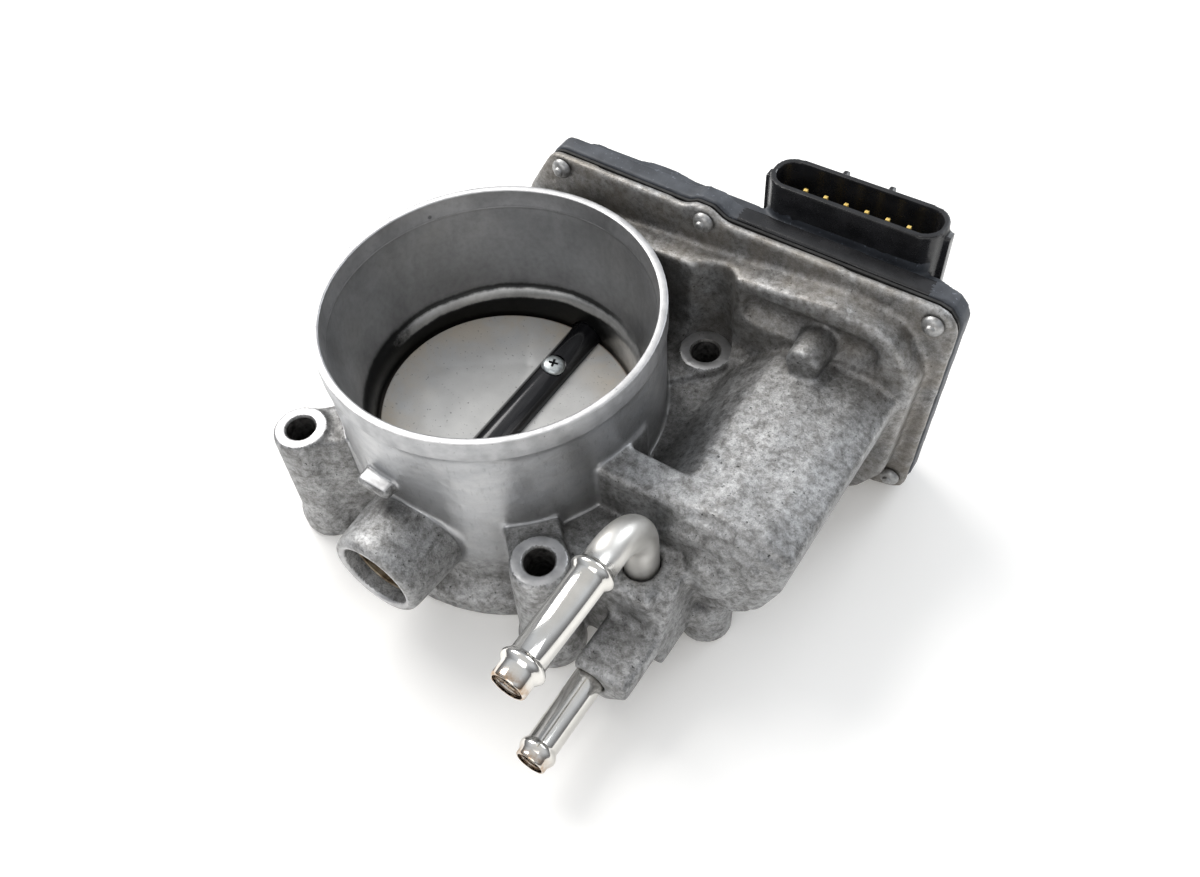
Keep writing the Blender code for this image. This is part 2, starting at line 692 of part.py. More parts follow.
# ---- Gear cover -------------------------------------------------------------------------
def rounded_box_xy(name, x_range, y_range, z_range, corner_r):
    """An upright block with an oval plan."""
    obj = box(
        name,
        (x_range[0], y_range[0], z_range[0]),
        (x_range[1], y_range[1], z_range[1]),
    )
    bm = bmesh.new()
    bm.from_mesh(obj.data)
    upright = [e for e in bm.edges if abs(e.verts[0].co.z - e.verts[1].co.z) > MERGE]
    bmesh.ops.bevel(bm, geom=upright, offset=corner_r, segments=5, profile=0.5, affect="EDGES")
    bm.to_mesh(obj.data)
    bm.free()
    return obj


def make_cover():
    cover = outline("gear_cover", [rounded(FLANGE_CORNERS, 4.0)], COVER_Y, COVER_BAND_Y, mat=COVER)
    bulge = rod(
        "sensor_bulge", BULGE_R, COVER_BAND_Y - 2 * MM, BULGE_Y, axis="Y",
        at=(BULGE_XZ[0], 0, BULGE_XZ[1]), steps=48, r_end=BULGE_R - 0.6 * MM,
    )
    join(
        cover,
        outline(
            "cover_top", [rounded(COVER_TOP_CORNERS, 4.0)], COVER_BAND_Y - 1 * MM, COVER_TOP_Y
        ),
        bulge,
        rounded_box_xy(
            "socket_body", SOCKET_X, SOCKET_Y, (SOCKET_FOOT, SOCKET_TOP), 5.2 * MM
        ),
        box(
            "socket_root", (38.4 * MM, 55.5 * MM, 42.5 * MM), (77.8 * MM, 66.4 * MM, 60 * MM),
            bevel=1.2 * MM,
        ),
        box("socket_rib_left", (35.6 * MM, 61.6 * MM, 56 * MM), (38.4 * MM, 64.6 * MM, 72.4 * MM)),
        box("socket_rib_right", (78.2 * MM, 61.6 * MM, 56 * MM), (80.8 * MM, 64.6 * MM, 72.4 * MM)),
        box("latch_prong_left", (51.0 * MM, 68.2 * MM, 58 * MM), (52.6 * MM, 71.2 * MM, 73.4 * MM)),
        box("latch_prong_right", (62.4 * MM, 68.2 * MM, 58 * MM), (64.0 * MM, 71.2 * MM, 73.4 * MM)),
    )
    cut(
        cover,
        outline(
            "cover_pocket", [rounded(COVER_POCKET_CORNERS, 5.0)], COVER_Y - 3 * MM, COVER_CEILING_Y
        ),
        rod(
            "sensor_pocket_tool", 17.0 * MM, 52 * MM, BULGE_Y - 2.2 * MM, axis="Y",
            at=(3.0 * MM, 0, 28.0 * MM), steps=32,
        ),
        rounded_box_xy(
            "socket_tool",
            (SOCKET_X[0] + 1.4 * MM, SOCKET_X[1] - 1.4 * MM),
            (SOCKET_Y[0] + 1.4 * MM, SOCKET_Y[1] - 1.4 * MM),
            (SOCKET_FLOOR, SOCKET_TOP + 2 * MM),
            4.0 * MM,
        ),
    )
    join(
        cover,
        rod(
            "idler_support", 4.4 * MM, 56.0 * MM, 58.4 * MM, axis="Y",
            at=(IDLER_XZ[0], 0, IDLER_XZ[1]), steps=20,
        ),
    )
    cut(
        cover,
        rod(
            "idler_support_tool", 2.3 * MM, 52 * MM, 58.0 * MM, axis="Y",
            at=(IDLER_XZ[0], 0, IDLER_XZ[1]), steps=16,
        ),
    )
    for number in range(1, PIN_COUNT + 1):
        x = pin_x(number)
        cut(
            cover,
            box(
                f"pin_tool_{number}",
                (x - 0.85 * MM, SOCKET_MID_Y - 0.85 * MM, 52 * MM),
                (x + 0.85 * MM, SOCKET_MID_Y + 0.85 * MM, SOCKET_FLOOR + 1 * MM),
            ),
        )
    for number, (x, z) in enumerate(RIVETS_XZ, 1):
        cut(
            cover,
            rod(
                f"cover_rivet_tool_{number}", RIVET_R + GAP, 46 * MM, 52.4 * MM, axis="Y",
                at=(x * MM, 0, z * MM), steps=14,
            ),
        )
    return cover


def pin_x(number):
    return SOCKET_MID_X + (number - (PIN_COUNT + 1) / 2) * PIN_PITCH


def make_cover_trim():
    for number in range(1, PIN_COUNT + 1):
        x = pin_x(number)
        box(
            f"terminal_pin_{number}",
            (x - 0.5 * MM, SOCKET_MID_Y - 0.5 * MM, 52.4 * MM),
            (x + 0.5 * MM, SOCKET_MID_Y + 0.5 * MM, 69.5 * MM),
            mat=GOLD,
            bevel=0.15 * MM,
        )
    gasket = outline(
        "cover_gasket", [rounded(inset(FLANGE_CORNERS, 0.35), 4.0)],
        FLANGE_Y + GAP, FLANGE_Y + GAP + GASKET_T, mat=RUBBER,
    )
    cut(gasket, outline("gasket_window_tool", [rounded(POCKET_CORNERS, 5.0)], 46 * MM, 50 * MM))
    for number, (x, z) in enumerate(RIVETS_XZ, 1):
        cut(
            gasket,
            rod(
                f"gasket_rivet_tool_{number}", RIVET_R + GAP, 46 * MM, 50 * MM, axis="Y",
                at=(x * MM, 0, z * MM), steps=14,
            ),
        )
        head_y = 45.3 * MM
        turned(
            f"cover_rivet_{number}",
            [
                (0, 51.8 * MM), (RIVET_R, 51.8 * MM), (RIVET_R, head_y), (2.6 * MM, head_y),
                (2.5 * MM, head_y - 0.6 * MM), (1.9 * MM, head_y - 1.3 * MM),
                (1.25 * MM, head_y - 1.5 * MM), (1.15 * MM, head_y - 2.3 * MM), (0, head_y - 2.3 * MM),
            ],
            axis="Y",
            at=(x * MM, 0, z * MM),
            mat=RIVET,
            steps=14,
        )
    rod(
        "position_sensor", 7.0 * MM, 58.2 * MM, BULGE_Y - 2.2 * MM - GAP, axis="Y",
        at=(SHAFT_X, 0, SHAFT_Z), mat=COVER, steps=24,
    )


# ---- Throttle shaft, plate and gear -----------------------------------------------------
def make_throttle():
    shaft = turned(
        "throttle_shaft",
        [
            (0, SHAFT_Y1 + 2.6 * MM), (2.6 * MM, SHAFT_Y1 + 2.6 * MM), (3.0 * MM, SHAFT_Y1 + 2.2 * MM),
            (3.0 * MM, SHAFT_Y1), (SHAFT_R, SHAFT_Y1), (SHAFT_R, SHAFT_Y0 + 0.6 * MM),
            (SHAFT_R - 0.6 * MM, SHAFT_Y0), (0, SHAFT_Y0),
        ],
        axis="Y",
        mat=SHAFT,
        parent=throttle_axis,
        steps=28,
    )
    slot = box(
        "plate_slot_tool",
        (-8 * MM, -PLATE_R - 0.5 * MM, -PLATE_T / 2 - GAP),
        (8 * MM, PLATE_R + 0.5 * MM, PLATE_T / 2 + GAP),
        parent=throttle_axis,
    )
    slot.rotation_euler = (0, PLATE_TILT, 0)
    cut(shaft, slot)

    plate = rod(
        "throttle_plate", PLATE_R, -PLATE_T / 2, PLATE_T / 2, mat=PLATE, parent=throttle_axis,
        steps=BORE_STEPS,
    )
    plate.rotation_euler = (0, PLATE_TILT, 0)
    plate.location = (-SHAFT_X * math.cos(PLATE_TILT), 0, SHAFT_X * math.sin(PLATE_TILT))

    tilt = Matrix.Rotation(PLATE_TILT, 3, "Y")
    for number, side in enumerate((-1, 1), 1):
        where = (0, side * SCREW_Y, 0)
        hole = rod(
            f"plate_screw_tool_{number}", 1.75 * MM, -8 * MM, 8 * MM, at=where,
            parent=throttle_axis, steps=14,
        )
        seat = rod(
            f"screw_seat_tool_{number}", SCREW_HEAD_R + GAP, 3.3 * MM, 8 * MM, at=where,
            parent=throttle_axis, steps=20,
        )
        cut(shaft, hole, seat)
        cut(plate, hole)
        screw = turned(
            f"plate_screw_{number}",
            [
                (0, 5.2 * MM), (2.0 * MM, 5.1 * MM), (2.8 * MM, 4.7 * MM), (SCREW_HEAD_R, 4.1 * MM),
                (SCREW_HEAD_R, 3.6 * MM), (1.45 * MM, 3.6 * MM), (1.45 * MM, -4.4 * MM),
                (1.1 * MM, -4.8 * MM), (0, -4.8 * MM),
            ],
            mat=ZINC,
            parent=throttle_axis,
            steps=18,
        )
        for obj in (hole, seat, screw):
            obj.rotation_euler = (0, PLATE_TILT, 0)
            obj.location = tilt @ Vector(where)
        for turn in (0, math.pi / 2):
            recess = box(
                f"cross_recess_tool_{number}_{round(math.degrees(turn))}",
                [-v for v in RECESS],
                RECESS,
                parent=throttle_axis,
            )
            recess.matrix_local = (
                screw.matrix_basis @ Matrix.Translation((0, 0, 5.2 * MM)) @ Matrix.Rotation(turn, 4, "Z")
            )
            cut(screw, recess)

    rim = gear_points(SECTOR_TEETH, MODULE_1, HERE, MESH_1, -TEETH_BACK, TEETH_AHEAD)
    pitch = 2 * math.pi / SECTOR_TEETH
    low = MESH_1 - (TEETH_BACK + 0.5) * pitch
    high = MESH_1 + (TEETH_AHEAD + 0.5) * pitch
    root_r = SECTOR_TEETH * MODULE_1 / 2 - DEDENDUM * MODULE_1
    sector = (
        [on_circle(HERE, root_r, low)]
        + rim
        + [on_circle(HERE, root_r, high)]
        + [on_circle(HERE, 8.6 * MM, high + (2 * math.pi - high + low) * k / 8) for k in range(9)]
    )
    gear = outline("throttle_gear", [sector], *SECTOR_Y, mat=NYLON, parent=throttle_axis)
    join(
        gear,
        rod("gear_hub", 9.0 * MM, 46.15 * MM, 50.4 * MM, axis="Y", parent=throttle_axis, steps=28),
    )
    cut(
        gear,
        rod("gear_hub_tool", SHAFT_R + GAP, 45 * MM, 52 * MM, axis="Y", parent=throttle_axis, steps=28),
    )
    ring(
        "sensor_magnet", 3.3 * MM, 5.1 * MM, SHAFT_Y1 + GAP, SHAFT_Y1 + 3.4 * MM, axis="Y",
        mat=MAGNET, parent=throttle_axis, steps=24,
    )


def make_bearings():
    centre = {"axis": "Y", "at": (SHAFT_X, 0, SHAFT_Z)}
    ring("front_bearing", 4.8 * MM, 6.5 * MM, -45.0 * MM, -40.6 * MM, mat=STEEL, **centre, steps=22)
    ring("front_shaft_seal", 4.75 * MM, 6.5 * MM, -40.2 * MM, -38.0 * MM, mat=RUBBER, **centre, steps=22)
    ring("rear_shaft_seal", 4.75 * MM, 7.9 * MM, 37.4 * MM, 39.0 * MM, mat=RUBBER, **centre, steps=22)
    ring(
        "rear_bearing_outer", 6.9 * MM, 7.95 * MM, 39.5 * MM, 45.2 * MM, mat=STEEL, **centre, steps=28
    )
    ring(
        "rear_bearing_inner", 4.8 * MM, 6.3 * MM, 39.5 * MM, 45.2 * MM, axis="Y", mat=STEEL,
        parent=throttle_axis, steps=28,
    )
    turned(
        "shaft_end_plug",
        [
            (0, -46.9 * MM), (8.2 * MM, -46.9 * MM), (8.6 * MM, -47.3 * MM), (8.6 * MM, -50.6 * MM),
            (7.9 * MM, -50.6 * MM), (7.9 * MM, -47.8 * MM), (0, -47.8 * MM),
        ],
        mat=PLUG,
        **centre,
        steps=28,
    )


def make_return_spring():
    turns = 1.6
    count = 32
    wire_r = 0.4 * MM
    mean_r = 11.5 * MM
    points = []
    for i in range(count + 1):
        angle = math.radians(150) + turns * 2 * math.pi * i / count
        y = FLOOR_Y + 0.8 * MM + 1.9 * MM * i / count
        points.append((SHAFT_X + mean_r * math.cos(angle), y, SHAFT_Z + mean_r * math.sin(angle)))
    first = Vector(points[0])
    outward = Vector((first.x - SHAFT_X, 0, first.z - SHAFT_Z)).normalized()
    points.insert(0, tuple(first + outward * 2.6 * MM))
    tube_along("return_spring", points, wire_r, mat=SPRING, resolution=2)


# ---- Idler and motor --------------------------------------------------------------------
def make_idler():
    small_at = MESH_1 + math.pi + math.pi / SMALL_TEETH
    gear = outline(
        "idler_gear",
        [gear_points(LARGE_TEETH, MODULE_2, HERE, MESH_2)],
        *LARGE_Y,
        mat=NYLON,
        parent=idler_axis,
    )
    join(
        gear,
        outline(
            "idler_small_gear",
            [gear_points(SMALL_TEETH, MODULE_1, HERE, small_at)],
            46.1 * MM,
            LARGE_Y[0] + 1 * MM,
            parent=idler_axis,
        ),
        rod("idler_hub", 4.6 * MM, LARGE_Y[0], 55.5 * MM, axis="Y", parent=idler_axis, steps=20),
    )
    cut(
        gear,
        rod("idler_bore_tool", 2.25 * MM, 44 * MM, 58 * MM, axis="Y", parent=idler_axis, steps=20),
        ring(
            "idler_web_tool", 8.4 * MM, 20.4 * MM, LARGE_Y[1] - 1.2 * MM, 58 * MM, axis="Y",
            parent=idler_axis, steps=32,
        ),
    )
    rod(
        "idler_pin", 2.0 * MM, 41.5 * MM, 57.6 * MM, axis="Y", at=(IDLER_XZ[0], 0, IDLER_XZ[1]),
        mat=STEEL, steps=20,
    )


def make_motor():
    centre = {"axis": "Y", "at": (MOTOR_XZ[0], 0, MOTOR_XZ[1])}
    y0, y1 = CAN_Y
    turned(
        "motor_can",
        [
            (CAN_R, y1), (CAN_R, y0 + 1.2 * MM), (CAN_R - 1.2 * MM, y0), (2.0 * MM, y0),
            (2.0 * MM, y0 + 1.2 * MM), (CAN_R - 1.4 * MM, y0 + 1.2 * MM), (CAN_R - 1.1 * MM, y0 + 2 * MM),
            (CAN_R - 1.1 * MM, y1),
        ],
        mat=STEEL,
        **centre,
        steps=32,
    )
    ring("wave_washer", 9.0 * MM, 13.0 * MM, y0 - 1.1 * MM, y0 - 0.6 * MM, mat=SPRING, **centre)

    plate = outline(
        "motor_end_plate",
        [
            rounded(
                [
                    (43.5, 20.0), (49.5, 13.0), (61.0, 11.0), (62.5, 5.2, 2.5), (71.5, 5.2, 2.5), (74.5, 15.5),
                    (79.0, 24.0), (79.0, 33.0), (74.5, 41.5), (71.5, 52.0, 2.5), (62.5, 52.0, 2.5), (61.0, 46.5),
                    (49.5, 44.0), (43.5, 37.0),
                ],
                4.0,
            )
        ],
        FLOOR_Y + GAP,
        FLOOR_Y + GAP + 1.6 * MM,
        mat=STEEL,
    )
    cut(plate, rod("end_plate_tool", 3.2 * MM, 40 * MM, 46 * MM, steps=20, **centre))
    head_y = FLOOR_Y + GAP + 1.6 * MM + GAP
    for number, side in enumerate((-1, 1), 1):
        where = (MOTOR_SCREW_X, 0, MOTOR_XZ[1] + side * MOTOR_SCREW_REACH)
        cut(
            plate,
            rod(f"end_plate_screw_tool_{number}", 1.6 * MM, 40 * MM, 46 * MM, axis="Y", at=where, steps=14),
            box(
                f"end_plate_slot_tool_{number}",
                (69.4 * MM, 40 * MM, 28.5 * MM + side * 8 * MM - 1.9 * MM),
                (71.6 * MM, 46 * MM, 28.5 * MM + side * 8 * MM + 1.9 * MM),
            ),
        )
        turned(
            f"motor_screw_{number}",
            [
                (0, head_y + 1.7 * MM), (2.2 * MM, head_y + 1.5 * MM), (2.6 * MM, head_y), (1.25 * MM, head_y),
                (1.25 * MM, 40.2 * MM), (0, 40.2 * MM),
            ],
            axis="Y",
            at=where,
            mat=ZINC,
            steps=16,
        )
        box(
            f"motor_terminal_{number}",
            (70.0 * MM, 40.3 * MM, 28.5 * MM + side * 8 * MM - 1.4 * MM),
            (71.0 * MM, 49.6 * MM, 28.5 * MM + side * 8 * MM + 1.4 * MM),
            mat=COPPER,
        )

        inner, outer = 12.2 * MM, CAN_R - 1.1 * MM - GAP
        half = math.radians(66)
        middle = math.pi / 2 if side > 0 else -math.pi / 2
        steps = 9
        arc = [middle - half + 2 * half * k / steps for k in range(steps + 1)]
        centre_xz = MOTOR_XZ
        outline(
            f"motor_magnet_{number}",
            [
                [on_circle(centre_xz, inner, a) for a in arc]
                + [on_circle(centre_xz, outer, a) for a in reversed(arc)]
            ],
            -4 * MM,
            26 * MM,
            mat=MAGNET,
        )
        x0 = MOTOR_XZ[0] + side * 5.6 * MM
        x1 = MOTOR_XZ[0] + side * 10.4 * MM
        box(
            f"motor_brush_{number}",
            (min(x0, x1), 29.6 * MM, MOTOR_XZ[1] - 2.0 * MM),
            (max(x0, x1), 34.2 * MM, MOTOR_XZ[1] + 2.0 * MM),
            mat=BRUSH,
        )
    ring("brush_card", 6.0 * MM, 13.9 * MM, 35.4 * MM, 38.6 * MM, mat=COVER, **centre)

    own = {"axis": "Y", "parent": motor_axis}
    turned(
        "motor_shaft",
        [
            (0, 56.4 * MM), (MOTOR_SHAFT_R - 0.3 * MM, 56.4 * MM), (MOTOR_SHAFT_R, 56.0 * MM),
            (MOTOR_SHAFT_R, -9.0 * MM), (0, -9.0 * MM),
        ],
        mat=STEEL,
        **own,
        steps=16,
    )
    armature = rod("motor_armature", 11.6 * MM, -3 * MM, 25 * MM, mat=COPPER, steps=40, **own)
    for number in range(5):
        angle = 2 * math.pi * number / 5
        groove = box(
            f"armature_slot_tool_{number}",
            (8.0 * MM, -10 * MM, -0.9 * MM),
            (13.0 * MM, 30 * MM, 0.9 * MM),
            parent=motor_axis,
        )
        groove.rotation_euler = (0, angle, 0)
        groove.location = (10.5 * MM * math.cos(angle), 10 * MM, -10.5 * MM * math.sin(angle))
        cut(armature, groove)
    cut(armature, rod("armature_bore_tool", MOTOR_SHAFT_R + GAP, -9 * MM, 30 * MM, steps=16, **own))
    ring(
        "commutator", MOTOR_SHAFT_R + GAP, 5.1 * MM, 27.5 * MM, 34.8 * MM, mat=COPPER, steps=20, **own
    )
    pinion_at = MESH_2 + math.pi + math.pi / PINION_TEETH
    pinion = outline(
        "motor_pinion",
        [gear_points(PINION_TEETH, MODULE_2, HERE, pinion_at)],
        50.2 * MM,
        55.4 * MM,
        mat=NYLON,
        parent=motor_axis,
    )
    cut(pinion, rod("pinion_bore_tool", MOTOR_SHAFT_R + GAP, 48 * MM, 58 * MM, steps=16, **own))


# ---- Pipes ------------------------------------------------------------------------------
def beads(r, bead_r, centres, end):
    """Outer profile (radius, y) of a pipe from its inner end to its mouth at end, top down."""
    points = []
    for middle in centres:
        for offset, share in ((1.7, 0.0), (1.0, 0.75), (0.0, 1.0), (-1.0, 0.75), (-1.7, 0.0)):
            points.append((r + (bead_r - r) * share, middle + offset * MM))
    points += [(r, end + 0.6 * MM), (r - 0.4 * MM, end)]
    return points


def make_pipes():
    wall = 0.9 * MM
    start = ELBOW_Y - ELBOW_BEND_R
    run = turned(
        "coolant_elbow_pipe",
        [(0, start - 1.0 * MM), (UPPER_PIPE_R, start - 1.0 * MM)]
        + beads(UPPER_PIPE_R, 5.0 * MM, (-39.4 * MM, -62.6 * MM), PIPE_END_Y)
        + [(0, PIPE_END_Y)],
        axis="Y",
        at=(PIPE_X, 0, UPPER_PIPE_Z),
        mat=PIPE,
        steps=20,
    )
    bend = []
    for k in range(9):
        angle = math.pi / 2 * k / 8
        bend.append(
            (
                PIPE_X,
                ELBOW_Y - ELBOW_BEND_R * (1 - math.sin(angle)),
                UPPER_PIPE_Z - ELBOW_BEND_R * (1 - math.cos(angle)),
            )
        )
    foot = [(PIPE_X, ELBOW_Y, 27 * MM)]
    outer = tube_along(
        "elbow_outer", [(PIPE_X, start - 3 * MM, UPPER_PIPE_Z)] + bend + foot, UPPER_PIPE_R + 0.1 * MM
    )
    bore_points = [(PIPE_X, PIPE_END_Y - 1 * MM, UPPER_PIPE_Z)] + bend + [(PIPE_X, ELBOW_Y, 25 * MM)]
    inner = tube_along("elbow_bore_tool", bore_points, UPPER_PIPE_R - wall)
    join(run, outer)
    cut(run, inner)

    straight = turned(
        "coolant_straight_pipe",
        [(0, -37 * MM), (LOWER_PIPE_R, -37 * MM)]
        + beads(LOWER_PIPE_R, 4.4 * MM, (-64.6 * MM,), PIPE_END_Y)
        + [(0, PIPE_END_Y)],
        axis="Y",
        at=(PIPE_X, 0, LOWER_PIPE_Z),
        mat=PIPE,
        steps=20,
    )
    cut(
        straight,
        rod(
            "straight_bore_tool", LOWER_PIPE_R - wall, PIPE_END_Y - 2 * MM, -30 * MM, axis="Y",
            at=(PIPE_X, 0, LOWER_PIPE_Z), steps=16,
        ),
    )


def make_stop_screw():
    screw = turned(
        "full_close_stop_screw",
        [
            (0, -5.6 * MM), (1.2 * MM, -5.6 * MM), (1.8 * MM, -6.3 * MM), (1.8 * MM, -24 * MM),
            (0, -24 * MM),
        ],
        axis="X",
        at=(0, STOP_SCREW_Y, STOP_SCREW_Z),
        mat=STEEL,
        steps=16,
    )
    cut(
        screw,
        box("stop_slot_tool", (-26 * MM, STOP_SCREW_Y - GAP, 42 * MM), (-23.2 * MM, STOP_SCREW_Y + GAP, 48 * MM)),
    )


make_housing()
make_cover()
make_cover_trim()
make_throttle()
make_bearings()
make_return_spring()
make_idler()
make_motor()
make_pipes()
make_stop_screw()
bpy.context.view_layer.update()
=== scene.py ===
# %% [markdown]
# # An electronic throttle body
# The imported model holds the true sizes, the joints and the collision. This lesson builds the looks
# round it: a cast aluminium housing with a machined bore, a plastic gear cover with its wiring
# socket, plated coolant pipes, and the plate that turns in the bore on its black shaft.

# %% The frame
import json
import math

import bpy
from mathutils import Matrix, Vector

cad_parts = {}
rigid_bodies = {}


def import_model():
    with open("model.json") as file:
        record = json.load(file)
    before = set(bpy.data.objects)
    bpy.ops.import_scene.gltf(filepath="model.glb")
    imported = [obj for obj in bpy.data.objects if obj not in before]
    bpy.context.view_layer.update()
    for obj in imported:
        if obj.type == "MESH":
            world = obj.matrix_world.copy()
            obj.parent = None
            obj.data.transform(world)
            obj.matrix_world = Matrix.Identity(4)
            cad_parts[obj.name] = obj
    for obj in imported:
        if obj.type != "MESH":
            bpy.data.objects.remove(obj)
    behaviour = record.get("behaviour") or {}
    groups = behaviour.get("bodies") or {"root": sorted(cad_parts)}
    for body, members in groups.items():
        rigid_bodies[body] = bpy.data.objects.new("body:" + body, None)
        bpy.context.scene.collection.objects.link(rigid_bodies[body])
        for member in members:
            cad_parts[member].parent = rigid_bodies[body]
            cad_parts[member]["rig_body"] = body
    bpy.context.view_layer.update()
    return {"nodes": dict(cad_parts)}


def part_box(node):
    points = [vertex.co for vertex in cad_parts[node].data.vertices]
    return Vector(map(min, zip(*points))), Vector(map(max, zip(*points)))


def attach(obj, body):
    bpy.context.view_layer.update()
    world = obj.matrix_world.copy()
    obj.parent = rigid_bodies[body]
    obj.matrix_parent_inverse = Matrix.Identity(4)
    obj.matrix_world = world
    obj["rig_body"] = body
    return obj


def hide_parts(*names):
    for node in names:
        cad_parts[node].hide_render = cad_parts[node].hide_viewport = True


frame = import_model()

# %% [markdown]
# ## Where things are
# The plate sits in the middle of the bore, so its box gives the bore's axis. Every place below is
# said in millimetres from the point where that axis meets the base, which is how a drawing of this
# part would be dimensioned: X towards the motor, Y towards the gear cover, Z towards the inlet.

# %% Places
MM = 0.001
plate_low, plate_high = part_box("throttle_plate")
BORE = (plate_low + plate_high) / 2
shaft_low, shaft_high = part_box("throttle_shaft")
SHAFT_AXIS = (shaft_low + shaft_high) / 2


def spot(x, y, z):
    """A place in metres from millimetres beside the bore's axis and above the base."""
    return Vector((BORE.x + x * MM, BORE.y + y * MM, z * MM))


SHAFT_X = (SHAFT_AXIS.x - BORE.x) / MM
SHAFT_Z = SHAFT_AXIS.z / MM
print(f"shaft axis {SHAFT_X:.2f} mm beside the bore's axis, {SHAFT_Z:.2f} mm above the base")

# %% [markdown]
# ## Camera
# The camera stands above and in front of the inlet, looking down into the bore, and leans over a
# little. Its three axes are worked out from a compass angle, a height angle and that lean.

# %% Camera
CAMERA_SPOT = spot(123.83, -122.63, 236.31)
CAMERA_TURN = math.radians(38.115)
CAMERA_HEIGHT = math.radians(52.279)
CAMERA_LEAN = math.radians(-5.568)
SENSOR_MM, LENS_MM = 36, 32.42
NEAREST = 0.01

back = Vector(
    (
        math.sin(CAMERA_TURN) * math.cos(CAMERA_HEIGHT),
        -math.cos(CAMERA_TURN) * math.cos(CAMERA_HEIGHT),
        math.sin(CAMERA_HEIGHT),
    )
)
level_right = Vector((math.cos(CAMERA_TURN), math.sin(CAMERA_TURN), 0))
level_up = back.cross(level_right)
right = level_right * math.cos(CAMERA_LEAN) + level_up * math.sin(CAMERA_LEAN)
up = level_up * math.cos(CAMERA_LEAN) - level_right * math.sin(CAMERA_LEAN)
camera = bpy.data.objects.new("camera", bpy.data.cameras.new("camera"))
camera.data.sensor_width = SENSOR_MM
camera.data.lens = LENS_MM
camera.data.clip_start = NEAREST
camera.matrix_world = Matrix.Translation(CAMERA_SPOT) @ Matrix((right, up, back)).transposed().to_4x4()
bpy.context.collection.objects.link(camera)
bpy.context.scene.camera = camera
print("camera at", [round(v / MM) for v in CAMERA_SPOT])

# %% [markdown]
# ## Light and floor
# A workbench under a big soft light: the world is a bright dome that dims towards the horizon, so
# polished metal has something to mirror. A broad lamp on the left of the view throws the soft
# shadow to the right, a weaker one behind picks out the rims, and a third fills the front. The floor
# glows a little, which keeps the shadow light and warm.

# %% Light and floor
world = bpy.data.worlds.new("bench_light")
bpy.context.scene.world = world
world.use_nodes = True
sky = world.node_tree.nodes
sky_ramp = sky.new("ShaderNodeValToRGB")
sky_split = sky.new("ShaderNodeSeparateXYZ")
sky_place = sky.new("ShaderNodeTexCoord")
world.node_tree.links.new(sky_place.outputs["Generated"], sky_split.inputs[0])
world.node_tree.links.new(sky_split.outputs["Z"], sky_ramp.inputs[0])
world.node_tree.links.new(sky_ramp.outputs[0], sky["Background"].inputs[0])
SKY_STRENGTH = 0.74
AIM = Vector((0, 0, 0.03))
SKY = [
    (0.0, (0.22, 0.22, 0.23)), (0.22, (0.36, 0.37, 0.39)), (0.6, (0.90, 0.94, 1.0)), (1.0, (1.0, 1.0, 1.0)),
]
while len(sky_ramp.color_ramp.elements) < len(SKY):
    sky_ramp.color_ramp.elements.new(0.5)
for element, (place, colour) in zip(sky_ramp.color_ramp.elements, SKY):
    element.position = place
    element.color = (*colour, 1)
sky["Background"].inputs["Strength"].default_value = SKY_STRENGTH
bpy.context.scene.view_settings.view_transform = "Standard"


def soft_lamp(name, where, watts, size, colour):
    """A square area lamp that points at the middle of the object."""
    data = bpy.data.lights.new(name, "AREA")
    data.shape = "SQUARE"
    data.size = size
    data.energy = watts
    data.color = colour
    lamp = bpy.data.objects.new(name, data)
    lamp.location = where
    aim = AIM - lamp.location
    lamp.rotation_euler = aim.to_track_quat("-Z", "Y").to_euler()
    bpy.context.collection.objects.link(lamp)


soft_lamp("window", (-0.75, 0.25, 0.9), 11.0, 0.7, (1.0, 0.98, 0.95))
soft_lamp("rim_light", (0.3, 0.9, 0.55), 3.5, 0.5, (0.92, 0.96, 1.0))
soft_lamp("front_fill", (0.1, -0.9, 0.5), 2.0, 0.6, (1.0, 0.97, 0.93))

bpy.ops.object.select_all(action="DESELECT")
bpy.ops.mesh.primitive_plane_add(size=6, location=(0, 0, 0))
floor = bpy.context.object
floor.name = "floor"
paper = bpy.data.materials.new("white_paper")
paper.use_nodes = True
for socket, value in (
    ("Base Color", (0.93, 0.925, 0.915, 1)),
    ("Roughness", 0.7),
    ("Emission Color", (1.0, 0.96, 0.89, 1)),
    ("Emission Strength", 0.15),
):
    paper.node_tree.nodes["Principled BSDF"].inputs[socket].default_value = value
floor.data.materials.append(paper)
print("floor and", len(bpy.data.lights), "lamps")

# %% [markdown]
# ## Material helpers
# Every finish is a Principled shader with a few noise patterns in front of it. These helpers add a
# node with its settings, join sockets, and build the three things used again and again: a noise in
# millimetres, a colour ramp, and a bump whose height is in millimetres too.

# %% Material helpers
def finish_named(name, colour, roughness, metallic=0.0, **sockets):
    mat = bpy.data.materials.new(name)
    mat.use_nodes = True
    shader = mat.node_tree.nodes["Principled BSDF"]
    shader.inputs["Base Color"].default_value = (*colour, 1)
    shader.inputs["Roughness"].default_value = roughness
    shader.inputs["Metallic"].default_value = metallic
    for socket, value in sockets.items():
        shader.inputs[socket.replace("_", " ")].default_value = value
    return mat


def shader_of(mat):
    return mat.node_tree.nodes["Principled BSDF"]


def node(mat, kind, **settings):
    made = mat.node_tree.nodes.new("ShaderNode" + kind)
    for key, value in settings.items():
        setattr(made, key, value)
    return made


def join(mat, output, *targets):
    for target in targets:
        mat.node_tree.links.new(output, target)
    return output


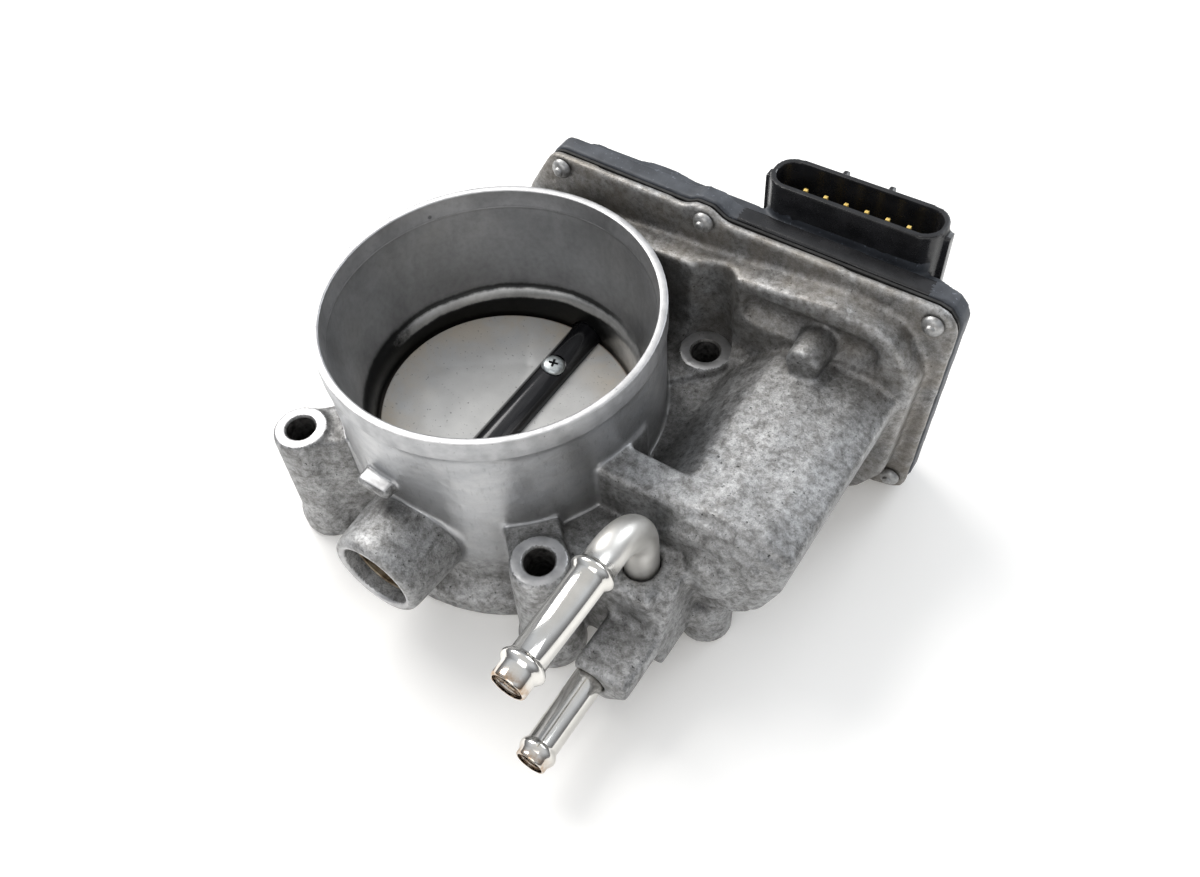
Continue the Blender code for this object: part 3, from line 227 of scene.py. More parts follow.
def places(mat, centre=(0, 0, 0), stretch=(1, 1, 1)):
    """Object coordinates, moved so that centre is at zero and then stretched."""
    source = node(mat, "TexCoord").outputs["Object"]
    shift = node(mat, "Mapping")
    shift.inputs["Location"].default_value = [-c * s for c, s in zip(centre, stretch)]
    shift.inputs["Scale"].default_value = stretch
    join(mat, source, shift.inputs["Vector"])
    return shift.outputs["Vector"]


def noise(mat, size_mm, detail=4.0, where=None, rough=0.55, lean=0.0):
    """A noise pattern whose blobs are about size_mm across, from 0 to 1."""
    made = node(mat, "TexNoise")
    made.inputs["Scale"].default_value = 1 / (size_mm * MM)
    made.inputs["Detail"].default_value = detail
    made.inputs["Roughness"].default_value = rough
    made.inputs["Distortion"].default_value = lean
    join(mat, where or places(mat), made.inputs["Vector"])
    return made.outputs["Fac"]


def ramp(mat, value, stops, smooth=False):
    """Colours, or greys, along a value: stops is a list of (place, colour or grey)."""
    made = node(mat, "ValToRGB")
    made.color_ramp.interpolation = "EASE" if smooth else "LINEAR"
    elements = made.color_ramp.elements
    while len(elements) < len(stops):
        elements.new(0.5)
    for element, (place, colour) in zip(elements, stops):
        element.position = place
        tint = (colour, colour, colour) if isinstance(colour, (int, float)) else colour
        element.color = (*tint, 1)
    join(mat, value, made.inputs[0])
    return made.outputs[0]


def blend(mat, share, first, second, mode="MIX"):
    """First and second mixed by share; each may be a socket or a plain colour."""
    made = node(mat, "Mix", data_type="RGBA", blend_type=mode)
    for socket, value in ((made.inputs[0], share), (made.inputs[6], first), (made.inputs[7], second)):
        if isinstance(value, bpy.types.NodeSocket):
            join(mat, value, socket)
        else:
            socket.default_value = value if isinstance(value, float) else (*value, 1)
    return made.outputs[2]


def maths(mat, operation, first, second=0.5, third=0.5):
    made = node(mat, "Math", operation=operation)
    for socket, value in zip(made.inputs, (first, second, third)):
        if isinstance(value, bpy.types.NodeSocket):
            join(mat, value, socket)
        else:
            socket.default_value = value
    return made.outputs[0]


def between(mat, value, low, high, start=0.0, end=1.0):
    """0 to 1, or start to end, as a value goes from low to high."""
    made = node(mat, "MapRange", interpolation_type="SMOOTHSTEP")
    for name, number in (("From Min", low), ("From Max", high), ("To Min", start), ("To Max", end)):
        made.inputs[name].default_value = number
    join(mat, value, made.inputs["Value"])
    return made.outputs[0]


def bump(mat, height, depth_mm, strength=1.0, under=None):
    made = node(mat, "Bump")
    made.inputs["Distance"].default_value = depth_mm * MM
    made.inputs["Strength"].default_value = strength
    join(mat, height, made.inputs["Height"])
    if under:
        join(mat, under, made.inputs["Normal"])
    return made.outputs["Normal"]


def coat(mat, colour=None, roughness=None, normal=None, metallic=None):
    """Joins the finished patterns to the shader."""
    for name, output in (
        ("Base Color", colour), ("Roughness", roughness), ("Normal", normal), ("Metallic", metallic)
    ):
        if output:
            join(mat, output, shader_of(mat).inputs[name])
    return mat


def crevices(mat, reach_mm):
    """Ambient occlusion, 1 out in the open and 0 deep in a corner, used to paint shade into colours."""
    made = node(mat, "AmbientOcclusion", samples=6, only_local=True)
    made.inputs["Distance"].default_value = reach_mm * MM
    return made.outputs["AO"]


def soft_tone(name, dark, light, rough, metallic=0.0, size_mm=3.0, grain=0.03):
    mat = finish_named(name, light, rough, metallic)
    tone = ramp(mat, noise(mat, size_mm, 6), [(0.32, dark), (0.68, light)])
    roughness = ramp(
        mat, noise(mat, size_mm / 2, 4), [(0.3, min(1.0, rough + 0.1)), (0.7, max(0.05, rough - 0.1))]
    )
    return coat(mat, tone, roughness, bump(mat, noise(mat, 0.4, 4), grain, 0.5))


print("material helpers ready")

# %% [markdown]
# ## Shaping helpers
# A turned piece is made the way it is drawn: a circle that is pushed along its axis and resized at
# each step of the profile, in edit mode. A tool shape cuts a piece with a Boolean and is then
# thrown away. Every piece ends with its place in its mesh and its object at the origin.

# %% Shaping helpers
def only(obj):
    """Nothing but this object is selected and active."""
    bpy.ops.object.select_all(action="DESELECT")
    obj.select_set(True)
    bpy.context.view_layer.objects.active = obj
    return obj


def settle(obj):
    """The object's place goes into its mesh."""
    only(obj)
    bpy.ops.object.transform_apply(location=True, rotation=True, scale=True)
    return obj


def facing_out(obj):
    only(obj)
    bpy.ops.object.mode_set(mode="EDIT")
    bpy.ops.mesh.select_all(action="SELECT")
    bpy.ops.mesh.remove_doubles(threshold=0.002 * MM)
    bpy.ops.mesh.normals_make_consistent(inside=False)
    bpy.ops.object.mode_set(mode="OBJECT")
    return obj


ALONG = {"Z": (0, 0, 0), "Y": (-math.pi / 2, 0, 0), "X": (0, math.pi / 2, 0)}


def lathe(name, profile, at, axis="Z", steps=96, ring=False):
    """A solid turned from (radius, height) pairs in millimetres, or a ring with a hole in it."""
    bpy.ops.object.select_all(action="DESELECT")
    first_r, first_h = profile[0]
    bpy.ops.mesh.primitive_circle_add(vertices=steps, radius=first_r * MM, location=(0, 0, 0))
    obj = bpy.context.object
    obj.name = name
    bpy.ops.object.mode_set(mode="EDIT")
    bpy.ops.mesh.select_all(action="SELECT")
    bpy.ops.transform.translate(value=(0, 0, first_h * MM))
    if not ring:
        bpy.ops.mesh.edge_face_add()
        bpy.ops.mesh.select_all(action="SELECT")
    pairs = list(zip(profile, profile[1:] + profile[:1] if ring else profile[1:]))
    for (r, h), (next_r, next_h) in pairs:
        bpy.ops.mesh.extrude_region_move(
            TRANSFORM_OT_translate={"value": (0, 0, (next_h - h) * MM)}
        )
        share = next_r / r
        bpy.ops.transform.resize(value=(share, share, 1), center_override=(0, 0, 0))
    bpy.ops.object.mode_set(mode="OBJECT")
    facing_out(obj)
    obj.rotation_euler = ALONG[axis]
    obj.location = at
    return settle(obj)


def block(name, low, high, turn=0.0, about=None, axis="Y"):
    """A box between two places, turned about an axis through about, to cut with or to add."""
    bpy.ops.object.select_all(action="DESELECT")
    bpy.ops.mesh.primitive_cube_add(size=1, location=(low + high) / 2)
    obj = bpy.context.object
    obj.name = name
    obj.scale = [abs(b - a) for a, b in zip(low, high)]
    settle(obj)
    if turn:
        pivot = Matrix.Translation(about)
        obj.data.transform(pivot @ Matrix.Rotation(turn, 4, axis) @ pivot.inverted())
    return obj


def apply_all(obj):
    only(obj)
    for mod in list(obj.modifiers):
        bpy.ops.object.modifier_apply(modifier=mod.name)
    return obj


def cut(obj, *tools, solver="EXACT"):
    for tool in tools:
        mod = obj.modifiers.new("cut", "BOOLEAN")
        mod.operation = "DIFFERENCE"
        mod.solver = solver
        mod.object = tool
        apply_all(obj)
        bpy.data.objects.remove(tool, do_unlink=True)
    return obj


def soften(obj, width_mm, segments=3, angle=35):
    """Narrow rounded edges where two faces meet sharply."""
    mod = obj.modifiers.new("edges", "BEVEL")
    mod.width = width_mm * MM
    mod.segments = segments
    mod.limit_method = "ANGLE"
    mod.angle_limit = math.radians(angle)
    return apply_all(obj)


def shade(obj, degrees=35):
    only(obj)
    bpy.ops.object.shade_smooth_by_angle(angle=math.radians(degrees))
    return obj


def wear(obj, *finishes):
    """These materials, in this order, on the piece."""
    obj.data.materials.clear()
    for mat in finishes:
        obj.data.materials.append(mat)
    return obj


def finish_faces(obj, index, test):
    """The faces whose centre and normal pass the test get the piece's material of that index."""
    count = 0
    for face in obj.data.polygons:
        if test(to_drawing(face.center), face.normal):
            face.material_index = index
            count += 1
    print(f"{obj.name}: {count} faces take {obj.data.materials[index].name}")


def to_drawing(where):
    """A place in metres as millimetres from the bore's axis and the base."""
    return Vector(((where.x - BORE.x) / MM, (where.y - BORE.y) / MM, where.z / MM))


def stand_for(obj, node_name, *more):
    """The piece takes the place and the body of a CAD node, and hides it."""
    home = frame["nodes"][node_name]
    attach(obj, home["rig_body"])
    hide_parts(node_name, *more)
    return obj


# %% [markdown]
# ## Cast aluminium
# The housing is grey where the mould left its skin: soft blotches a few millimetres across, flakes
# about a millimetre wide, dark pores and fine grit, brown oil film next to the gear case, and painted
# shade that darkens the corners.
# The outside of the inlet tube is smoother, so one finish holds both and fades between them by the
# distance from the bore's axis.

# %% Cast aluminium
CENTRE = (BORE.x, BORE.y, 0)


def from_axis(mat, where):
    """Distance from the bore's axis, then height, X and Y, in metres, from centred coordinates."""
    parts = node(mat, "SeparateXYZ")
    join(mat, where, parts.inputs[0])
    squares = maths(
        mat, "ADD", maths(mat, "POWER", parts.outputs[0], 2.0), maths(mat, "POWER", parts.outputs[1], 2.0)
    )
    return maths(mat, "SQRT", squares), parts.outputs[2], parts.outputs[0], parts.outputs[1]


def cast_finish():
    mat = finish_named("cast_skin", (0.5, 0.5, 0.49), 0.5, 0.85)
    where = places(mat, CENTRE)
    radius, height, _, along_y = from_axis(mat, where)
    tube = between(mat, radius, 0.0404, 0.0398)
    tube = maths(mat, "MULTIPLY", tube, between(mat, height, 0.012, 0.026))
    drift = ramp(mat, noise(mat, 16.0, 4, where, 0.5), [(0.35, 0.82), (0.65, 1.12)])
    blotch = ramp(
        mat, noise(mat, 2.4, 8, where, 0.66),
        [(0.34, (0.215, 0.212, 0.208)), (0.45, (0.315, 0.314, 0.312)), (0.52, (0.375, 0.376, 0.377)),
         (0.60, (0.43, 0.432, 0.435)), (0.70, (0.50, 0.504, 0.51))],
    )
    skin = blend(mat, 0.9, blotch, drift, "MULTIPLY")
    flakes = ramp(
        mat, noise(mat, 1.15, 5, where, 0.6),
        [(0.40, 0.66), (0.435, 0.70), (0.465, 0.98), (0.58, 1.02), (0.61, 1.2), (0.70, 1.25)],
    )
    skin = blend(mat, 0.75, skin, flakes, "MULTIPLY")
    grit = ramp(mat, noise(mat, 0.38, 4, where, 0.7), [(0.36, 0.72), (0.5, 1.0), (0.64, 1.2)])
    skin = blend(mat, 0.7, skin, grit, "MULTIPLY")
    pores = ramp(mat, noise(mat, 0.8, 3, where, 0.6), [(0.29, 0.10), (0.345, 1.0)])
    skin = blend(mat, 0.9, skin, pores, "MULTIPLY")
    oil_edge = between(mat, along_y, 0.028, 0.047)
    oil = maths(mat, "MULTIPLY", oil_edge, ramp(mat, noise(mat, 9.0, 6, where), [(0.36, 0.15), (0.60, 1.0)]))
    skin = blend(mat, maths(mat, "MULTIPLY", oil, 0.5), skin, (0.285, 0.25, 0.205))
    streaks = noise(mat, 3.2, 7, places(mat, CENTRE, (0.5, 0.5, 1.0)), 0.6)
    satin = ramp(
        mat, streaks, [(0.3, (0.43, 0.44, 0.455)), (0.5, (0.48, 0.487, 0.50)), (0.72, (0.54, 0.545, 0.55))]
    )
    scuffs = ramp(mat, noise(mat, 1.0, 5, places(mat, CENTRE, (1, 1, 0.3)), 0.7), [(0.33, 0.72), (0.45, 1.0)])
    satin = blend(mat, 0.6, satin, scuffs, "MULTIPLY")
    colour = blend(mat, tube, skin, satin)
    # Ambient occlusion darkens the colour in corners and hollows: painted shade.
    open_air = crevices(mat, 10)
    painted_corner_shade = ramp(
        mat, open_air, [(0.25, (0.10, 0.095, 0.088)), (0.62, (0.52, 0.51, 0.495)), (0.9, (1, 1, 1))], True
    )
    colour = blend(mat, 0.85, colour, painted_corner_shade, "MULTIPLY")
    rough_cast = ramp(mat, noise(mat, 2.2, 5, where), [(0.3, 0.62), (0.7, 0.42)])
    rough = blend(mat, tube, rough_cast, ramp(mat, streaks, [(0.3, 0.42), (0.7, 0.30)]))
    grain = maths(mat, "ADD", noise(mat, 0.45, 5, where, 0.7), maths(mat, "MULTIPLY", pores, 0.6))
    grain_depth = maths(mat, "MULTIPLY", grain, between(mat, tube, 0.0, 1.0, 1.0, 0.12))
    lumps = bump(mat, noise(mat, 6.0, 4, where), 0.5, 0.5)
    metal = between(mat, open_air, 0.3, 0.8, 0.35, 0.9)
    return coat(mat, colour, rough, bump(mat, grain_depth, 0.16, 0.8, lumps), metal)


CAST = cast_finish()
print("finish:", CAST.name)

# %% [markdown]
# ## Machined aluminium
# Cutters leave bright faces: the rim and its band, the bolt seats, the shaft boss's end and the lug.
# They show fine turning marks and a few nicks, and dirt has dulled them a little.

# %% Machined faces
def machined_finish(name, bright, dull, marks_mm=0.35):
    mat = finish_named(name, bright, 0.3, 0.95)
    where = places(mat, CENTRE)
    tone = ramp(mat, noise(mat, 4.0, 6, where), [(0.34, dull), (0.6, bright)])
    nicks = ramp(mat, noise(mat, 0.9, 4, where, 0.7), [(0.29, 0.25), (0.34, 1.0)])
    rings = node(mat, "TexWave", wave_type="RINGS", rings_direction="Z")
    rings.inputs["Scale"].default_value = 1 / (marks_mm * MM) / 20
    rings.inputs["Distortion"].default_value = 1.5
    rings.inputs["Detail"].default_value = 2
    join(mat, where, rings.inputs["Vector"])
    rough = ramp(mat, noise(mat, 2.5, 5, where), [(0.3, 0.52), (0.7, 0.38)])
    normal = bump(mat, rings.outputs["Fac"], 0.02, 0.35)
    return coat(mat, blend(mat, 0.8, tone, nicks, "MULTIPLY"), rough, bump(mat, nicks, 0.06, 0.6, normal))


MACHINED = machined_finish("machined_face", (0.54, 0.54, 0.545), (0.40, 0.40, 0.405))
RIM_BAND = machined_finish("rim_band", (0.50, 0.505, 0.515), (0.38, 0.385, 0.395))
# The walls of the bolt holes are painted near-black: painted shade inside the holes.
DARK_HOLE = finish_named("bolt_hole_wall", (0.09, 0.09, 0.09), 0.6, 0.6)
hole_painted_shade = ramp(
    DARK_HOLE, noise(DARK_HOLE, 1.5), [(0.35, (0.015, 0.014, 0.013)), (0.7, (0.12, 0.115, 0.11))]
)
coat(DARK_HOLE, hole_painted_shade, normal=bump(DARK_HOLE, noise(DARK_HOLE, 0.5), 0.1, 0.6))
print("finishes:", MACHINED.name, RIM_BAND.name, DARK_HOLE.name)

# %% [markdown]
# ## The bore
# Inside, the tube is satin grey with smudges. A faint ring runs under the rim, soot lies on the
# ledge where the bore narrows, and the throat below it is wiped bright by the passing air. The black
# below the ledge is partly soot and partly painted shadow, where the throat's wall lies in shade by
# the plate. These follow the height, so each is a ramp along Z with its edges broken by noise. There
# are three: black all the way down on the front left, black below a light ledge at the back, and
# wiped on the right.

# %% Bore finish
RAMP_LOW_MM, RAMP_HIGH_MM = 20, 66
RAGGED = 1.8 * MM


def bore_finish():
    mat = finish_named("bore_wall", (0.5, 0.5, 0.5), 0.38, 0.85)
    where = places(mat, CENTRE)
    height = node(mat, "SeparateXYZ")
    join(mat, where, height.inputs[0])
    centred = maths(mat, "SUBTRACT", height.outputs[2], RAGGED / 2)
    ragged = maths(mat, "MULTIPLY_ADD", noise(mat, 7.0, 6, where, 0.65), RAGGED, centred)
    level = between(mat, ragged, RAMP_LOW_MM * MM, RAMP_HIGH_MM * MM)
    level.node.interpolation_type = "LINEAR"

    def at(z_mm):
        return (z_mm - RAMP_LOW_MM) / (RAMP_HIGH_MM - RAMP_LOW_MM)

    upper = [
        (at(39.6), (0.30, 0.30, 0.305)), (at(47), (0.40, 0.405, 0.415)), (at(60.6), (0.45, 0.455, 0.465)),
        (at(61.2), (0.36, 0.36, 0.365)), (at(61.8), (0.50, 0.50, 0.505)), (at(66), (0.54, 0.54, 0.54)),
    ]
    # Near-black below the ledge: soot, and painted shadow where the throat's wall lies in shade beside the
    # plate.
    soot_and_painted_shadow = ramp(
        mat, level,
        [(at(20), (0.03, 0.028, 0.026)), (at(33.7), (0.012, 0.012, 0.012)), (at(34.3), (0.03, 0.03, 0.03)),
         (at(34.9), (0.52, 0.515, 0.50)), (at(36.7), (0.62, 0.615, 0.60)), (at(37.2), (0.07, 0.07, 0.07)),
         (at(38.1), (0.05, 0.05, 0.05)), (at(38.7), (0.25, 0.25, 0.252))]
        + upper,
    )
    wiped = ramp(
        mat, level,
        [(at(20), (0.30, 0.27, 0.23)), (at(26), (0.62, 0.60, 0.57)), (at(33.5), (0.72, 0.71, 0.69)),
         (at(36.7), (0.66, 0.655, 0.645)), (at(37.3), (0.30, 0.30, 0.30)), (at(38.4), (0.34, 0.34, 0.34))]
        + upper,
    )
    # Black up past the ledge on the front left: caked soot, and painted shadow in the throat.
    caked_soot_and_painted_shadow = ramp(
        mat, level,
        [(at(20), (0.03, 0.028, 0.026)), (at(37.9), (0.016, 0.016, 0.016)), (at(38.8), (0.22, 0.22, 0.222))]
        + upper,
    )
    back = maths(mat, "MULTIPLY_ADD", noise(mat, 6.0, 5, where, 0.65), 0.022, height.outputs[1])
    soot_and_painted_shadow = blend(mat, between(mat, back, 0.008, 0.019), caked_soot_and_painted_shadow, soot_and_painted_shadow)
    side = maths(mat, "MULTIPLY_ADD", noise(mat, 10.0, 4, where), 0.016, height.outputs[0])
    bands = blend(mat, between(mat, side, 0.028, 0.012), wiped, soot_and_painted_shadow)
    wiping = noise(mat, 14.0, 7, places(mat, CENTRE, (1, 1, 0.6)), 0.6, 0.6)
    smudge = ramp(mat, wiping, [(0.32, 0.72), (0.5, 0.95), (0.66, 1.12)])
    colour = blend(mat, 0.8, bands, smudge, "MULTIPLY")
    spots = node(mat, "TexVoronoi")
    spots.inputs["Scale"].default_value = 1 / (9.0 * MM)
    join(mat, where, spots.inputs["Vector"])
    drops = ramp(mat, spots.outputs["Distance"], [(0.055, 0.25), (0.085, 1.0)])
    few = ramp(mat, noise(mat, 16.0, 2, where), [(0.46, 1.0), (0.52, 0.0)])
    drops = blend(mat, few, drops, (1.0, 1.0, 1.0))
    colour = blend(mat, 0.75, colour, drops, "MULTIPLY")
    film = ramp(mat, noise(mat, 1.4, 5, where, 0.6), [(0.3, 0.86), (0.6, 1.04)])
    colour = blend(mat, 0.8, colour, film, "MULTIPLY")
    rough = ramp(mat, noise(mat, 8.0, 5, where), [(0.3, 0.46), (0.7, 0.30)])
    return coat(mat, colour, rough, bump(mat, noise(mat, 0.6, 3, where), 0.03, 0.5))


BORE_WALL = bore_finish()
print("finish:", BORE_WALL.name)

# %% [markdown]
# ## The machined bore as a piece
# The rim's top, the band round it, the tapered bore, the ledge and the throat were all cut in one
# turning job, so they are one turned ring, with a shallow groove where the band stops.

# %% Machined bore
RIM_R, RIM_IN, RIM_TOP, BAND_END = 40.0, 38.0, 66.0, 60.5
LEDGE_TOP, THROAT_R = 36.8, 33.0
bore_ring = lathe(
    "machined_bore",
    [
        (38.7, BAND_END + 0.02), (39.2, BAND_END + 0.02), (39.85, BAND_END + 0.02), (RIM_R, BAND_END + 0.15),
        (RIM_R, RIM_TOP - 0.35), (39.9, RIM_TOP - 0.12), (39.65, RIM_TOP - 0.02), (39.4, RIM_TOP),
        (38.6, RIM_TOP), (38.3, RIM_TOP - 0.05), (38.1, RIM_TOP - 0.2), (RIM_IN, RIM_TOP - 0.6),
        (37.62, 61.5), (37.5, 61.2), (37.52, 60.9), (37.3, 58.0), (36.5, 52.0), (35.7, 46.0), (34.9, 40.0),
        (34.45, LEDGE_TOP + 1.0), (34.2, LEDGE_TOP + 0.35), (33.9, LEDGE_TOP), (33.35, LEDGE_TOP - 1.2),
        (33.05, LEDGE_TOP - 2.2), (THROAT_R, LEDGE_TOP - 3.4), (THROAT_R, 24.0), (THROAT_R, 0.6), (33.3, 0.1),
        (34.0, 0.1), (34.0, 32.0), (34.6, 35.0), (35.2, 37.2), (38.7, 60.2),
    ],
    spot(0, 0, 0),
    steps=192,
    ring=True,
)
cut(bore_ring, lathe("shaft_tunnel_tool", [(4.9, -60), (4.9, 60)], spot(SHAFT_X, 0, SHAFT_Z), "Y", 64))
wear(bore_ring, BORE_WALL, MACHINED, RIM_BAND)
finish_faces(
    bore_ring, 1, lambda at, normal: at.z > BAND_END and (at.xy.length > 38.15 or normal.z > 0.3)
)
finish_faces(bore_ring, 2, lambda at, normal: BAND_END < at.z < RIM_TOP - 0.3 and at.xy.length > 39)
shade(bore_ring, 32)
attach(bore_ring, "casting")
print("machined bore:", len(bore_ring.data.polygons), "faces")

# %% [markdown]
# ## The casting
# Castings have no sharp edge that a cutter didn't make. The CAD housing is copied and given what the
# mould had and the CAD solid is too plain for: a valley along the gear case, a sloping flank behind
# the shelf, a gate stub, and filled ground round the right bolt boss. It is then rebuilt from
# small cubes and relaxed, which rounds every outer edge and fills every inner corner a little. Then
# the cutters come back: the bolt seats are faced, the holes drilled, the shaft boss faced and
# bored, and the space of the machined bore is taken out.

# %% Casting
CUBE_MM = 0.55
CAST_FACES = 185000


def cast_copy(node_name, name, cube_mm, relax, wanted, carved=(), added=()):
    """A rounded copy of a CAD node, after carving and adding shapes."""
    obj = bpy.data.objects.new(name, frame["nodes"][node_name].data.copy())
    bpy.context.collection.objects.link(obj)
    only(obj)
    bpy.ops.object.mode_set(mode="EDIT")
    bpy.ops.mesh.select_all(action="SELECT")
    bpy.ops.mesh.remove_doubles(threshold=0.002 * MM)
    bpy.ops.object.mode_set(mode="OBJECT")
    for tool in carved:
        cut(obj, tool)
    for extra in added:
        grow = obj.modifiers.new("grow", "BOOLEAN")
        grow.operation = "UNION"
        grow.object = extra
        apply_all(obj)
        bpy.data.objects.remove(extra, do_unlink=True)
    rebuild = obj.modifiers.new("small_cubes", "REMESH")
    rebuild.mode = "VOXEL"
    rebuild.voxel_size = cube_mm * MM
    ease = obj.modifiers.new("relax", "SMOOTH")
    ease.factor = 0.5
    ease.iterations = relax
    apply_all(obj)
    triangles = sum(len(face.vertices) - 2 for face in obj.data.polygons)
    if triangles > wanted:
        thin = obj.modifiers.new("thin", "DECIMATE")
        thin.ratio = wanted / triangles
        apply_all(obj)
    print(f"{name}: {triangles} triangles rebuilt, {len(obj.data.polygons)} kept")
    return obj


RELAX_STEPS, TOOL_STEPS = 20, 48
VALLEY_Y, VALLEY_Z = 36.4, 53.6
STUB_X, STUB_Z = 62.6, 50.2
valley_profile = [(4.0, 43.5), (5.0, 46.0), (5.0, 74.0), (4.0, 77.0)]
valley = lathe("valley_tool", valley_profile, spot(0, VALLEY_Y, VALLEY_Z), "X", TOOL_STEPS)
stub = lathe("gate_stub", [(3.8, 30.9), (4.3, 31.4), (4.6, 42.6)], spot(STUB_X, 0, STUB_Z), "Y", TOOL_STEPS)
FLANK_TURN, FLANK_TOP = math.radians(-41.5), spot(54, 0, 44.6)
flank = block("flank_tool", spot(35, -5, 44.6), spot(62, 3.4, 62), FLANK_TURN, FLANK_TOP)
cut(flank, lathe("tube_guard", [(40.2, 20), (40.2, 80)], spot(0, 0, 0)))
SADDLE_TURN, SADDLE_AT = math.radians(56), spot(30, 37, 38)
filler = block("filler", spot(27, 17, 22), spot(40, 31, 33.4))
saddle = block("saddle", spot(12, 26, 33.5), spot(45, 40.8, 38), SADDLE_TURN, SADDLE_AT, "X")
casting = cast_copy(
    "housing", "cast_housing", CUBE_MM, RELAX_STEPS, CAST_FACES, [valley, flank], [stub, saddle, filler]
)
bore_space = lathe(
    "bore_space",
    [
        (34.0, -2), (34.0, 32.0), (34.6, 35.0), (35.2, 37.2), (38.7, 60.2), (38.7, BAND_END), (44, BAND_END),
        (44, 70),
    ],
    spot(0, 0, 0),
    steps=192,
)
cut(casting, bore_space, solver="MANIFOLD")
BOLT_HALF, SEAT_Z = 35.5, 36.5
corners = [(sx * BOLT_HALF, sy * BOLT_HALF) for sx in (-1, 1) for sy in (-1, 1)]
for x, y in corners:
    cut(
        casting,
        lathe(
            "bolt_drill",
            [(3.5, -1), (3.5, SEAT_Z - 0.75), (3.95, SEAT_Z - 0.2), (6.45, SEAT_Z - 0.2), (6.45, SEAT_Z + 6)],
            spot(x, y, 0),
            steps=64,
        ),
        solver="MANIFOLD",
    )
shaft_spot = spot(SHAFT_X, 0, SHAFT_Z)
cut(
    casting,
    lathe(
        "shaft_boss_cutter",
        [(13.5, -60), (13.5, -54.35), (9.6, -54.35), (9.0, -53.7), (9.0, -46.1), (7.0, -46.1), (7.0, -37.7)],
        shaft_spot,
        "Y",
        96,
    ),
    solver="MANIFOLD",
)
wear(casting, CAST, MACHINED, DARK_HOLE)


def near_seat(at, reach):
    return any(math.hypot(at.x - x, at.y - y) < reach for x, y in corners)


finish_faces(
    casting, 1, lambda at, normal: abs(at.z - SEAT_Z + 0.2) < 0.08 and normal.z > 0.9 and near_seat(at, 6.6)
)
finish_faces(
    casting, 2, lambda at, normal: at.z < SEAT_Z - 0.9 and abs(normal.z) < 0.3 and near_seat(at, 3.62)
)


def on_boss_end(at):
    from_shaft = math.hypot(at.x - SHAFT_X, at.z - SHAFT_Z)
    return abs(at.y + 54.1) < 0.9 and at.y < -53.6 and from_shaft < 10.2


def on_lug_top(at, normal):
    return normal.z > 0.9 and 44.2 < at.z < 45 and at.y < -39.5 and abs(at.x + 3.9) < 5


finish_faces(casting, 1, lambda at, normal: on_boss_end(at) or on_lug_top(at, normal))
shade(casting, 40)
stand_for(casting, "housing")
print("casting:", len(casting.data.polygons), "faces")

# %% [markdown]
# ## Throttle plate
# A brass disc, plated satin silver. Hot intake air has stained it warm near its edge and left
# specks on it, and a small round dimple was pressed in beside the shaft. It leans a little on its
# shaft, as the springs hold it when nobody drives it.

# %% Plate
PLATE_TILT = math.radians(7.5)
PLATE_R, PLATE_T = 32.6, 2.0
SCREW_Y = 17.0


def plate_finish():
    mat = finish_named("stained_plate", (0.66, 0.65, 0.63), 0.6, 0.5)
    where = places(mat, CENTRE)
    radius = from_axis(mat, where)[0]
    edge = between(mat, radius, 0.017, 0.033)
    patchy = ramp(mat, noise(mat, 9.0, 7, where, 0.6, 0.5), [(0.36, 0.0), (0.62, 1.0)])
    stain = maths(mat, "MULTIPLY", maths(mat, "MULTIPLY", edge, patchy), 0.6)
    clean = ramp(mat, noise(mat, 12.0, 6, where), [(0.3, (0.54, 0.54, 0.535)), (0.7, (0.66, 0.66, 0.65))])
    colour = blend(mat, stain, clean, (0.66, 0.56, 0.42))
    rim_line = between(mat, radius, 0.0318, 0.0325)
    colour = blend(mat, maths(mat, "MULTIPLY", rim_line, 0.75), colour, (0.20, 0.11, 0.05))
    specks = ramp(mat, noise(mat, 0.8, 4, where, 0.6), [(0.31, 0.40), (0.355, 1.0)])
    colour = blend(mat, 0.8, colour, specks, "MULTIPLY")
    rough = ramp(mat, noise(mat, 5.0, 6, where), [(0.3, 0.68), (0.7, 0.52)])
    return coat(mat, colour, rough, bump(mat, noise(mat, 0.5, 4, where), 0.02, 0.5))


def lean(obj):
    """The piece takes the plate's lean, about the shaft's axis."""
    obj.data.transform(
        Matrix.Translation(shaft_spot) @ Matrix.Rotation(PLATE_TILT, 4, "Y") @ Matrix.Translation(-shaft_spot)
    )
    return obj


plate = lathe(
    "butterfly_plate",
    [
        (PLATE_R - 2.0, -PLATE_T / 2), (PLATE_R - 0.3, -PLATE_T / 2),
        (PLATE_R, -PLATE_T / 2 + 0.25), (PLATE_R, PLATE_T / 2 - 0.3),
        (PLATE_R - 0.12, PLATE_T / 2 - 0.1), (PLATE_R - 0.3, PLATE_T / 2), (PLATE_R - 0.6, PLATE_T / 2),
        (PLATE_R - 2.0, PLATE_T / 2),
    ],
    spot(0, 0, SHAFT_Z),
    steps=160,
)
for side in (-1, 1):
    hole_at = shaft_spot + Vector((0, side * SCREW_Y * MM, 0))
    cut(plate, lathe("screw_hole_tool", [(1.75, -6), (1.75, 6)], hole_at, steps=32))
DIMPLE_BALL_R = 4.2
dimple_at = spot(-6.2, 15.2, SHAFT_Z + 1 + 3.95)
bpy.ops.object.select_all(action="DESELECT")
bpy.ops.mesh.primitive_uv_sphere_add(
    segments=32, ring_count=16, radius=DIMPLE_BALL_R * MM, location=dimple_at
)
cut(plate, bpy.context.object)
lean(plate)
wear(plate, plate_finish())
shade(plate, 25)
stand_for(plate, "throttle_plate")
print("plate:", len(plate.data.polygons), "faces")

# %% [markdown]
# ## Throttle shaft
# Blackened steel, ground smooth and oily, so it mirrors the sky as one long line. A disc as wide as
# the plate slits it, and each screw sits in a round seat.

